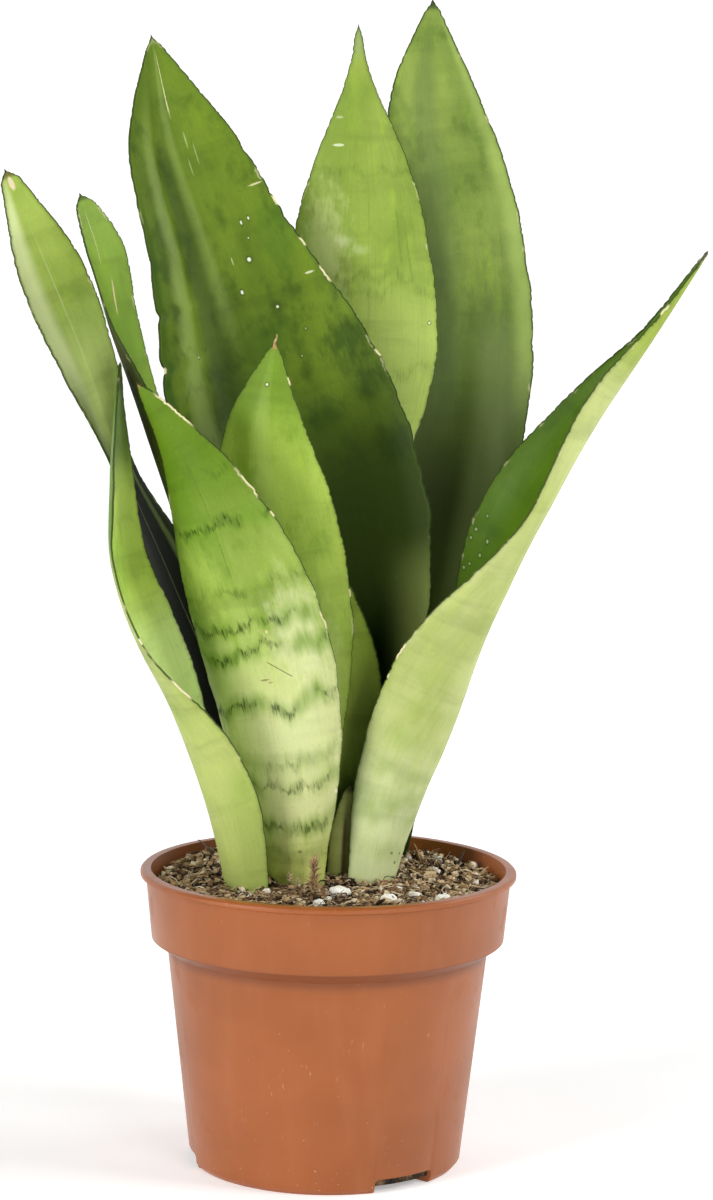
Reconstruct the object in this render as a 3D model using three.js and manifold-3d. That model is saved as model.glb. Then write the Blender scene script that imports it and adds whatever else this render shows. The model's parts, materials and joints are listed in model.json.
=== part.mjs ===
// Potted moonshine snake plant in a nursery pot. Millimetres, +Z up.
// The origin is the middle of the pot's underside, and the front is at -Y.
import * as THREE from "three";
import { mergeVertices } from "three/addons/utils/BufferGeometryUtils.js";
import Module from "manifold-3d";

const wasm = await Module();
wasm.setup();

// Gap between pieces that touch
const GAP = 0.3;

// Pot
const POT_HEIGHT = 95;
const RIM_RADIUS = 60;
const LIP_HEIGHT = 2.6;
const COLLAR_TOP_RADIUS = 58.2;
const COLLAR_FOOT_RADIUS = 56.3;
const COLLAR_FOOT = 73;
const BODY_TOP_RADIUS = 51.2;
const BODY_TOP = 69.5;
const BODY_FOOT_RADIUS = 43.8;
const FOOT_ROUND = 1.6;
const WALL = 1.5;
const FLOOR = 1.8;
const POT_SIDES = 48;

// Drainage tunnels, which run in from the foot of the wall
const TUNNEL_TURNS = [35.7, 155.7, -84.3];
const TUNNEL_ARC = 29;
const TUNNEL_HEIGHT = 4.5;
const TUNNEL_INNER = 27;
const TUNNEL_ROOF = 1.6;
const HOUSING_ARC = 33;
const HOUSING_OUTER = 43;
const HOUSING_FOOT = 0.4;
const DRAIN_RADIUS = 3.6;
const DRAIN_PLACE = 36;

// Soil
const SOIL_LEVEL = 89.5;
const SOIL_EDGE_RADIUS = 55.3;
const SOIL_RINGS = 5;
const SOIL_SHOULDER = 6;
const SOIL_HEAPS = [
  { x: -34, y: 36, height: 3.2, spread: 26 },
  { x: 36, y: 34, height: 1.6, spread: 22 },
];

// Rootstock
const CROWN_CENTRE = [-2, 10, 55];
const CROWN_SIZE = [33, 31, 15];
const ROOT_RADIUS = 2.6;
const ROOT_STEPS = 8;
const ROOTS = [
  [[-20, -2, 50], [-34, -6, 38], [-35, -12, 24], [-28, -16, 12]],
  [[14, -4, 48], [28, -14, 38], [33, -12, 24], [28, 2, 14]],
  [[-14, 22, 48], [-24, 32, 36], [-22, 32, 24], [-8, 32, 14]],
];

// Leaves
const LEAF_STEPS = 18;
const BLADE_STEPS = 6;
const ROOT_THICKNESS = 3.8;
const TIP_THICKNESS = 1.2;
const MARGIN_THICKNESS = 0.9;

// Each row is one place along a leaf, from its foot to its tip: the midrib's x, y and z, the blade's flat
// width, the turn of its upper face in degrees (0 faces the front, 90 the right, 180 the back), and the
// curl of its two halves in degrees, left then right as seen from the upper face.
const LEAVES = {
  leaf_far_left: {
    colour: "#8fae4c",
    rows: [
      [-17, 24, 56, 14, 50, 50, 50],
      [-21.5, 26, 98, 20, 54, 46, 46],
      [-36, 26, 143, 32, 58, 40, 36],
      [-53.5, 24, 185, 36, 71, 30, 20],
      [-69.5, 22.5, 222, 21, 76, 16, 12],
      [-79.5, 21, 252, 23, 46, 20, 18],
      [-91.6, 18, 283, 22.5, 25, 26, 16],
      [-104.6, 14, 314, 5, 22, 20, 20],
    ],
  },
  leaf_near_left: {
    colour: "#9cbd58",
    rows: [
      [-24, -8, 56, 15, 142, 55, 55],
      [-28, -12, 88, 20, 140, 60, 60],
      [-34.5, -13, 114, 30, 128, 60, 72],
      [-46, -12, 141, 37, 106, 44, 84],
      [-58, -12, 167, 39, 82, 26, 52],
      [-67, -10, 193, 36, 78, 24, 32],
      [-68.5, -8, 218, 28, 80, 24, 26],
      [-68, -8, 238, 15, 82, 20, 20],
      [-67, -8, 255, 2, 82, 15, 15],
    ],
  },
  leaf_front: {
    colour: "#a9c46c",
    rows: [
      [-9, 0, 56, 16, 172, 55, 55],
      [-11, -5, 91, 22, 170, 60, 60],
      [-15.5, -9, 125, 40, 165, 52, 52],
      [-21, -12, 156, 48, 160, 50, 45],
      [-30, -14.5, 186, 46, 155, 45, 36],
      [-39.4, -15.5, 212, 32.6, 152, 40, 32],
      [-49.6, -15, 233, 15.4, 150, 30, 28],
      [-61, -15, 250, 2, 150, 20, 20],
    ],
  },
  leaf_back_left: {
    colour: "#7c9c34",
    rows: [
      [-18, 11, 56, 12, 76, 50, 50],
      [-23, 10.5, 104, 17, 80, 50, 50],
      [-33, 8, 150, 17, 88, 42, 42],
      [-45.5, 3.8, 195, 18, 86, 42, 40],
      [-59.2, 0.8, 236, 23.4, 82, 78, 38],
      [-68.8, 2, 266, 20.8, 66, 48, 34],
      [-73.6, 3, 290, 17, 50, 26, 26],
      [-80.3, 4, 307, 5.5, 40, 15, 15],
    ],
  },
  leaf_centre: {
    colour: "#6e9a35",
    rows: [
      [1, 22, 56, 17, -5, 50, 50],
      [0, 25, 104, 28, 0, 48, 48],
      [0, 29, 153, 62, 3, 38, 36],
      [-9, 34.5, 200, 84, 6, 42, 32],
      [-25, 38, 245, 82, 8, 70, 25],
      [-40, 38.5, 288, 55, 9, 70, 18],
      [-53, 36, 325, 36, 12, 48, 18],
      [-60, 32, 357, 2, 14, 30, 18],
    ],
  },
  leaf_heart: {
    colour: "#83a842",
    rows: [
      [-8, 6, 56, 12, 180, 45, 45],
      [-8.5, 7, 98, 15, 180, 45, 45],
      [-10, 5, 134, 30, 178, 38, 38],
      [-14, 3, 169, 43, 175, 30, 30],
      [-19, 2, 203, 42, 172, 26, 26],
      [-22, 2, 234, 27, 172, 24, 24],
      [-19, 2, 262, 2, 175, 15, 15],
    ],
  },
  leaf_rear_middle: {
    colour: "#9bbb52",
    rows: [
      [2.5, 32, 56, 11, 180, 45, 45],
      [4.5, 38, 108, 16, 180, 40, 40],
      [6, 44, 158, 20, 178, 30, 30],
      [6.5, 48, 208, 29, 178, 22, 22],
      [7, 50, 256, 53, 178, 18, 18],
      [7.6, 49.7, 305, 39.5, 180, 18, 18],
      [6.4, 47.6, 345, 8.5, 180, 18, 18],
      [6, 46, 361.5, 1.4, 180, 10, 10],
    ],
  },
  leaf_rear_right: {
    colour: "#6f9140",
    rows: [
      [16, 34, 56, 11, -12, 45, 45],
      [20, 45, 104, 20, -10, 42, 42],
      [28, 53, 155, 32, -6, 36, 36],
      [36, 57, 205, 45, -3, 34, 34],
      [40.5, 59, 252, 51, 0, 32, 32],
      [38, 59, 297, 46, 0, 30, 30],
      [31, 57, 338, 31, 0, 28, 28],
      [30, 55, 370.5, 2, 0, 15, 15],
    ],
  },
  leaf_right: {
    colour: "#afc26e",
    rows: [
      [11, 3, 56, 14, -152, 55, 55],
      [15.7, 3, 90, 20, -152, 60, 60],
      [23.7, 4, 120, 34, -144, 60, 60],
      [38.5, 6, 150, 50, -122, 66, 66],
      [53, 8, 180, 54, -92, 70, 70],
      [64.5, 8, 208, 46, -75, 62, 62],
      [80.5, 5, 236, 36, -86, 65, 65],
      [99, 2, 265, 11, -90, 100, 100],
      [115, -3, 292, 2.5, -90, 40, 40],
    ],
  },
  leaf_inner_short: {
    colour: "#4f7022",
    rows: [
      [6, 16, 56, 10, 0, 40, 40],
      [6, 16.5, 98, 14, 0, 40, 40],
      [5.5, 17, 130, 24, 0, 35, 35],
      [5, 16, 160, 21, 0, 30, 30],
      [4, 15, 186, 2, 0, 15, 15],
    ],
  },
  leaf_sheath: {
    colour: "#8a9a5c",
    rows: [
      [5, 8.5, 56, 9, 180, 40, 40],
      [5, 8, 84, 12, 180, 40, 40],
      [5.5, 8, 104, 11, 180, 38, 38],
      [6.5, 8, 121, 2, 180, 20, 20],
    ],
  },
};

// Loose bits on the soil: place, size and turn
const PERLITE = [
  [3.4, -15, 3.4, 10],
  [21.5, -8, 2.2, 60],
  [27, -19, 2.4, 130],
  [19, -26, 2.6, 200],
  [36, -24, 3.2, 280],
  [-3, -33, 2.2, 330],
  [36, 31, 1.8, 40],
  [47, 24, 1.8, 90],
];
const TWIG_RADIUS = 0.9;
const TWIG_STEPS = 5;
const TWIGS = {
  twig_tan: [[28, 36, 4.4], [29.5, 31, 2.8], [31, 26, -1.6]],
  twig_dark: [[44.5, 29, 4.4], [43, 26, 2.4], [41, 22, -1.6]],
  twig_left: [[-43, 33, 4.6], [-40, 31, 3.4], [-36, 27, -1.6]],
};
const MOSS_HEIGHT = 11.5;
const MOSS_DEPTH = 1.8;
const MOSS_RADIUS = 1.6;
const MOSS_PLACE = [-4.5, -15];

const radians = THREE.MathUtils.degToRad;

function smoothCurve(points) {
  const vectors = points.map((point) => new THREE.Vector3(...point));
  return new THREE.CatmullRomCurve3(vectors, false, "catmullrom", 0.5);
}

// Round tube along a curve through points. A positive grow makes it fatter and its last end longer.
function tubeGeometry(points, radius, steps, grow) {
  const round = new THREE.Shape();
  round.absarc(0, 0, radius + grow, 0, 2 * Math.PI, false);
  const [before, last] = points.slice(-2).map((point) => new THREE.Vector3(...point));
  const end = last.clone().sub(before).setLength(grow).add(last);
  const extrudePath = smoothCurve([...points.slice(0, -1), end.toArray()]);
  return new THREE.ExtrudeGeometry(round, { steps, curveSegments: 4, extrudePath });
}

// Closed triangle mesh and boolean solid, either way
function toSolid(geometry) {
  const bare = geometry.clone();
  bare.deleteAttribute("normal");
  bare.deleteAttribute("uv");
  const merged = mergeVertices(bare, 1e-4);
  const mesh = new wasm.Mesh({
    numProp: 3,
    vertProperties: Float32Array.from(merged.attributes.position.array),
    triVerts: Uint32Array.from(merged.index.array),
  });
  return new wasm.Manifold(mesh);
}

function toGeometry(solid) {
  const mesh = solid.getMesh();
  const geometry = new THREE.BufferGeometry();
  geometry.setAttribute("position", new THREE.Float32BufferAttribute(mesh.vertProperties, 3));
  geometry.setIndex(new THREE.Uint32BufferAttribute(mesh.triVerts, 1));
  geometry.computeVertexNormals();
  return geometry;
}

function cut(solid, cutters) {
  return cutters.reduce((rest, cutter) => rest.subtract(cutter), solid);
}

// Body of revolution about +Z, from radius and height pairs that run from the axis back to the axis
function turned(profile, sides) {
  const points = profile.map(([radius, height]) => new THREE.Vector2(radius, height));
  return new THREE.LatheGeometry(points, sides).rotateX(Math.PI / 2);
}

// Offset of a point of the blade from the midrib: across is -1 at the left margin and 1 at the right one
function bladePoint(across, width, curlLeft, curlRight) {
  const curl = radians(across < 0 ? curlLeft : curlRight) + 1e-4;
  const radius = width / 2 / curl;
  const angle = across * curl;
  return {
    side: radius * Math.sin(angle),
    lift: radius * (1 - Math.cos(angle)),
    angle,
  };
}

// Closed channelled blade along its rows. A positive grow makes it fatter and its foot longer, as a cutter.
function leafGeometry(rows, grow = 0) {
  const midrib = smoothCurve(rows.map((row) => row.slice(0, 3)));
  const shape = smoothCurve(rows.map((row) => [row[3], row[4], 0]));
  const curls = smoothCurve(rows.map((row) => [row[5], row[6], 0]));
  const ring = 2 * (BLADE_STEPS + 1);
  const positions = [];
  for (let step = 0; step <= LEAF_STEPS; step += 1) {
    const along = step / LEAF_STEPS;
    const centre = midrib.getPoint(along);
    const tangent = midrib.getTangent(along);
    if (step === 0) {
      centre.addScaledVector(tangent, -grow);
    }
    const { x: width, y: turn } = shape.getPoint(along);
    const { x: curlLeft, y: curlRight } = curls.getPoint(along);
    const facing = new THREE.Vector3(Math.sin(radians(turn)), -Math.cos(radians(turn)), 0);
    const normal = facing.addScaledVector(tangent, -facing.dot(tangent)).normalize();
    const side = new THREE.Vector3().crossVectors(tangent, normal);
    const thickness = THREE.MathUtils.lerp(ROOT_THICKNESS, TIP_THICKNESS, along ** 0.7);
    for (const face of [-1, 1]) {
      for (let j = 0; j <= BLADE_STEPS; j += 1) {
        const across = face * (1 - (2 * j) / BLADE_STEPS);
        const place = bladePoint(across, width + 2 * grow, curlLeft, curlRight);
        const rounded = Math.sqrt(1 - 0.96 * across ** 2);
        const half = Math.max(thickness * rounded, MARGIN_THICKNESS) / 2 + grow;
        const out = new THREE.Vector3()
          .addScaledVector(side, -Math.sin(place.angle))
          .addScaledVector(normal, Math.cos(place.angle));
        const point = centre
          .clone()
          .addScaledVector(side, place.side)
          .addScaledVector(normal, place.lift)
          .addScaledVector(out, face * half);
        positions.push(point.x, point.y, point.z);
      }
    }
  }
  const triangles = [];
  for (let step = 0; step < LEAF_STEPS; step += 1) {
    for (let j = 0; j < ring; j += 1) {
      const a = step * ring + j;
      const b = step * ring + ((j + 1) % ring);
      triangles.push(a, b + ring, b, a, a + ring, b + ring);
    }
  }
  const last = LEAF_STEPS * ring;
  for (let j = 0; j < BLADE_STEPS; j += 1) {
    const k = ring - 1 - j;
    triangles.push(j, j + 1, k, k, j + 1, k - 1);
    triangles.push(last + j, last + k, last + j + 1, last + k, last + k - 1, last + j + 1);
  }
  const geometry = new THREE.BufferGeometry();
  geometry.setAttribute("position", new THREE.Float32BufferAttribute(positions, 3));
  geometry.setIndex(triangles);
  return geometry;
}

// Soil surface: nearly level in front, heaped towards the back, with small ripples
function soilHeight(x, y) {
  let height = SOIL_LEVEL;
  for (const heap of SOIL_HEAPS) {
    const away = Math.hypot(x - heap.x, y - heap.y) / heap.spread;
    height += heap.height * Math.exp(-(away ** 2));
  }
  const broad = 0.5 * Math.sin(0.31 * x + 1) * Math.cos(0.27 * y);
  const narrow = 0.3 * Math.sin(0.7 * x - 0.5 * y);
  return height + broad + narrow;
}

// Outline of the pot's outside, from the axis to the top of the rim
const potOutside = [
  [0, 0],
  [BODY_FOOT_RADIUS - FOOT_ROUND, 0],
  [BODY_FOOT_RADIUS - 0.3, FOOT_ROUND],
  [BODY_TOP_RADIUS, BODY_TOP],
  [COLLAR_FOOT_RADIUS, COLLAR_FOOT],
  [COLLAR_TOP_RADIUS, POT_HEIGHT - LIP_HEIGHT],
  [RIM_RADIUS, POT_HEIGHT - LIP_HEIGHT + 0.8],
  [RIM_RADIUS, POT_HEIGHT - 0.7],
  [RIM_RADIUS - 0.7, POT_HEIGHT],
];

// Outline of the room inside the pot, from the rim down to the axis; clearance shrinks it
function potInside(clearance) {
  return [
    [COLLAR_TOP_RADIUS - WALL - clearance, POT_HEIGHT],
    [COLLAR_FOOT_RADIUS - WALL - clearance, COLLAR_FOOT + 1 + clearance],
    [BODY_TOP_RADIUS - WALL - clearance, BODY_TOP + 1 + clearance],
    [BODY_FOOT_RADIUS - WALL - clearance, FLOOR + clearance],
    [0, FLOOR + clearance],
  ];
}

// Slab shaped as a slice of a ring, centred on a turn measured from the front towards the right
function ringSlice(turn, arc, inner, outer, bottom, top) {
  const middle = radians(turn - 90);
  const half = radians(arc / 2);
  const slice = new THREE.Shape();
  slice.absarc(0, 0, outer, middle - half, middle + half, false);
  slice.absarc(0, 0, inner, middle + half, middle - half, true);
  slice.closePath();
  const slab = new THREE.ExtrudeGeometry(slice, {
    depth: top - bottom,
    bevelEnabled: false,
    curveSegments: 6,
  });
  return toSolid(slab.translate(0, 0, bottom));
}

function tunnelHousing(turn, clearance) {
  const arc = HOUSING_ARC + 2 * clearance;
  const inner = TUNNEL_INNER - WALL - clearance;
  const top = TUNNEL_HEIGHT + TUNNEL_ROOF + clearance;
  return ringSlice(turn, arc, inner, HOUSING_OUTER, HOUSING_FOOT, top);
}

function potSolid() {
  let pot = toSolid(turned([...potOutside, ...potInside(0)], POT_SIDES));
  for (const turn of TUNNEL_TURNS) {
    pot = pot.add(tunnelHousing(turn, 0));
  }
  for (const turn of TUNNEL_TURNS) {
    const drain = new THREE.CylinderGeometry(DRAIN_RADIUS, DRAIN_RADIUS, 10, 16).rotateX(Math.PI / 2);
    const angle = radians(turn - 90);
    drain.translate(DRAIN_PLACE * Math.cos(angle), DRAIN_PLACE * Math.sin(angle), TUNNEL_HEIGHT);
    pot = pot.subtract(ringSlice(turn, TUNNEL_ARC, TUNNEL_INNER, 50, -1, TUNNEL_HEIGHT));
    pot = pot.subtract(toSolid(drain));
  }
  return pot;
}

// Lumpy crown with its roots; grow makes it fatter, as a cutter
function rootstockSolid(grow) {
  const crown = new THREE.SphereGeometry(1, 18, 10);
  const place = crown.attributes.position;
  for (let i = 0; i < place.count; i += 1) {
    const [x, y, z] = [place.getX(i), place.getY(i), place.getZ(i)];
    const lump = 1 + 0.05 * Math.sin(5 * x + 2 * y) + 0.04 * Math.sin(4 * y - 3 * z);
    const [sx, sy, sz] = CROWN_SIZE.map((reach) => reach * lump + grow);
    place.setXYZ(i, CROWN_CENTRE[0] + x * sx, CROWN_CENTRE[1] + y * sy, CROWN_CENTRE[2] + z * sz);
  }
  let stock = toSolid(crown);
  for (const root of ROOTS) {
    stock = stock.add(toSolid(tubeGeometry(root, ROOT_RADIUS, ROOT_STEPS, grow)));
  }
  return stock;
}

// Irregular grain of perlite on the soil
function grainGeometry([x, y, size, turn], grow = 0) {
  const grain = new THREE.IcosahedronGeometry(1, 1);
  const place = grain.attributes.position;
  for (let i = 0; i < place.count; i += 1) {
    const [gx, gy, gz] = [place.getX(i), place.getY(i), place.getZ(i)];
    const lump = 1 + 0.16 * Math.sin(4 * gx + turn) + 0.12 * Math.cos(5 * gy + 3 * gz + turn);
    const reach = size * lump + grow;
    place.setXYZ(i, gx * reach, gy * reach * 0.8, gz * reach * 0.62);
  }
  grain.rotateZ(radians(turn));
  return grain.translate(x, y, soilHeight(x, y) + size * 0.25);
}

// Bit of stalk stuck in the soil; each point is x, y and height above the soil
function twigGeometry(points, grow = 0) {
  const path = points.map(([x, y, above]) => [x, y, soilHeight(x, y) + above]);
  return tubeGeometry(path, TWIG_RADIUS, TWIG_STEPS, grow);
}

// Upright stem stuck in the soil
function mossGeometry(grow = 0) {
  const foot = soilHeight(...MOSS_PLACE) - MOSS_DEPTH;
  const stem = turned(
    [
      [0, -grow],
      [MOSS_RADIUS + grow, -grow],
      [MOSS_RADIUS * 1.1 + grow, MOSS_HEIGHT * 0.4],
      [MOSS_RADIUS * 0.7 + grow, MOSS_HEIGHT * 0.8],
      [0, MOSS_HEIGHT + grow],
    ],
    10,
  );
  return stem.translate(MOSS_PLACE[0], MOSS_PLACE[1], foot);
}

function soilSolid(cutters) {
  const edge = SOIL_EDGE_RADIUS;
  const profile = potInside(GAP)
    .slice(1)
    .reverse()
    .concat([[edge - 0.5, SOIL_LEVEL - SOIL_SHOULDER]]);
  for (let i = 0; i <= SOIL_RINGS; i += 1) {
    profile.push([edge * (1 - i / SOIL_RINGS), SOIL_LEVEL]);
  }
  const body = turned(profile, POT_SIDES);
  const place = body.attributes.position;
  for (let i = 0; i < place.count; i += 1) {
    if (place.getZ(i) > SOIL_LEVEL - 1) {
      place.setZ(i, soilHeight(place.getX(i), place.getY(i)));
    }
  }
  const pieces = cut(toSolid(body), cutters).decompose();
  return pieces.reduce((largest, piece) => (piece.volume() > largest.volume() ? piece : largest));
}

function finish(colour, roughness) {
  return new THREE.MeshStandardMaterial({ color: colour, roughness, metalness: 0 });
}

const plant = new THREE.Group();

function addPiece(name, geometry, material) {
  const mesh = new THREE.Mesh(geometry, material);
  mesh.name = name;
  plant.add(mesh);
}

addPiece("pot", toGeometry(potSolid()), finish("#b56a49", 0.45));
addPiece("rootstock", toGeometry(rootstockSolid(0)), finish("#c9a878", 0.8));

const crownCutter = rootstockSolid(GAP);
for (const [name, leaf] of Object.entries(LEAVES)) {
  const blade = toSolid(leafGeometry(leaf.rows)).subtract(crownCutter);
  addPiece(name, toGeometry(blade), finish(leaf.colour, 0.5));
}

const soilCutters = [
  crownCutter,
  ...Object.values(LEAVES).map((leaf) => toSolid(leafGeometry(leaf.rows, GAP))),
  ...TUNNEL_TURNS.map((turn) => tunnelHousing(turn, GAP)),
  ...PERLITE.map((grain) => toSolid(grainGeometry(grain, GAP))),
  ...Object.values(TWIGS).map((points) => toSolid(twigGeometry(points, GAP))),
  toSolid(mossGeometry(GAP)),
];
addPiece("soil", toGeometry(soilSolid(soilCutters)), finish("#4a3526", 0.95));

PERLITE.forEach((grain, index) => {
  addPiece(`perlite_${index + 1}`, grainGeometry(grain), finish("#e6e0d4", 0.9));
});
for (const [name, points] of Object.entries(TWIGS)) {
  addPiece(name, twigGeometry(points), finish("#8c6a45", 0.9));
}
addPiece("moss_stem", mossGeometry(), finish("#6b4a2c", 0.95));

export default plant;
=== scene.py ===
"""A young snake plant with pale, silvery green leaves in a round nursery pot.

Sizes are in millimetres and become metres where a mesh is made. The x axis points to the
plant's right, the y axis to its back and the z axis up, from the middle of the pot's underside.
"""
import json

import bpy
import numpy as np
from mathutils import Matrix, Vector, noise


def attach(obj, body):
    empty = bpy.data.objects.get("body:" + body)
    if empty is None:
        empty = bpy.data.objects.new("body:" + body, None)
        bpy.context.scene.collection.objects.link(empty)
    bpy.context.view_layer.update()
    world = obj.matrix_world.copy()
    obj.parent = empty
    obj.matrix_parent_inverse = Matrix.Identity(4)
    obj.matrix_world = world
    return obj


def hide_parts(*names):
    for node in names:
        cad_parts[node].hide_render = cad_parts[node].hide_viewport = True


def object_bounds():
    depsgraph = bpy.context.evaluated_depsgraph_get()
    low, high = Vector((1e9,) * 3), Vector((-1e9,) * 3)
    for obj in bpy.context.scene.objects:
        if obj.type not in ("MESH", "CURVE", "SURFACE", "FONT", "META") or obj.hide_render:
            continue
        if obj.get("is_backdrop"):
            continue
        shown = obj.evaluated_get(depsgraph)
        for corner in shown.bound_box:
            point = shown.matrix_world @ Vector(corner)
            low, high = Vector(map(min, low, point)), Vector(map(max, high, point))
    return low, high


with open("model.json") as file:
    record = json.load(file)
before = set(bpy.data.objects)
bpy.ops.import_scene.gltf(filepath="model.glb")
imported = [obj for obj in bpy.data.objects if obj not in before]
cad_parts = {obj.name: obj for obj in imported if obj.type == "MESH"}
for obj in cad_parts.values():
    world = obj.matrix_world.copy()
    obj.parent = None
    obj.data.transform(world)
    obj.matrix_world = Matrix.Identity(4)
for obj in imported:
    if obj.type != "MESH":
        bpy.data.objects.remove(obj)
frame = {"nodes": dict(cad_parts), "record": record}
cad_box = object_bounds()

MM = 0.001
METRE = 1000

# The photograph's frame, in pixels, and the lens that was fitted to the pot's outline in it
FRAME_HEIGHT = 1200
LENS_PIXELS = 3509.3
SENSOR = 36
CAMERA_PLACE = (0, -1100, 328.7)
CAMERA_YAW = 0.40
CAMERA_PITCH = 7.63
CAMERA_ROLL = 0.83

# The pot
POT_HEIGHT = 95
RIM_RADIUS = 60
LIP_HEIGHT = 2.6
LIP_SLOPE = 0.8
LIP_ROUND = 0.7
COLLAR_TOP_RADIUS = 58.2
COLLAR_FOOT_RADIUS = 56.3
COLLAR_FOOT = 73
BODY_TOP_RADIUS = 51.2
BODY_TOP = 69.5
BODY_FOOT_RADIUS = 43.8
FOOT_ROUND = 1.6
FOOT_DRAFT = 0.3
WALL = 1.5
FLOOR = 1.8
POT_SIDES = 144
ARC_POINTS = 13
EDGE_ROUND = 0.35

# Drainage tunnels at the pot's foot; a turn is measured from the front towards the right
TUNNEL_TURNS = (35.7, 155.7, -84.3)
TUNNEL_ARC = 29
TUNNEL_HEIGHT = 4.5
TUNNEL_INNER = 27
TUNNEL_OUTER = 50
TUNNEL_CORNER = 1.4
HOUSING_ARC = 33
HOUSING_OUTER = 43
HOUSING_FOOT = 0.4
HOUSING_HEIGHT = 6.1
DRAIN_RADIUS = 3.6
DRAIN_PLACE = 36

# The potting mix
SOIL_LEVEL = 89.5
SOIL_RADIUS = 55.3
SOIL_RINGS = 44
SOIL_GAP = 0.3

# Heaps on it: x, y, height and spread
SOIL_HEAPS = ((-34, 36, 3.2, 26), (36, 34, 1.6, 22))

# Its colours from dark to light; a ramp holds the first two from the start
SOIL_TONES = (
    (0.0, "#17110C"), (1.0, "#F6F1E6"), (0.16, "#3A2A1D"), (0.34, "#86694A"), (0.54, "#B8996F"),
    (0.74, "#D8C19A"), (0.92, "#E6DAC2"),
)

# Leaves: length of a ring along each blade, strips across it, and its thickness
MIDRIB_SAMPLES = 600
BLADE_STEP = 0.9
TIP_CROWDING = 1.15
BLADE_STRIPS = 30
ROOT_THICKNESS = 3.8
TIP_THICKNESS = 1.2
MARGIN_THICKNESS = 0.6
MARGIN_ROUND = 0.2
TIP_ROUND = 3.0
WIDTH_WAVE = 23
WIDTH_SWING = 0.012
MARGIN_WAVES = (57, 49)
FRAY = 0.4
FOLD_RAMP = 25

# Leaf skin: lanes of fibres across a blade, sway of the crossbands, and what counts as a thin rib
FIBRE_LANES = 30
BAND_SWAY = 20
THIN_RIB = 0.05

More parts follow.
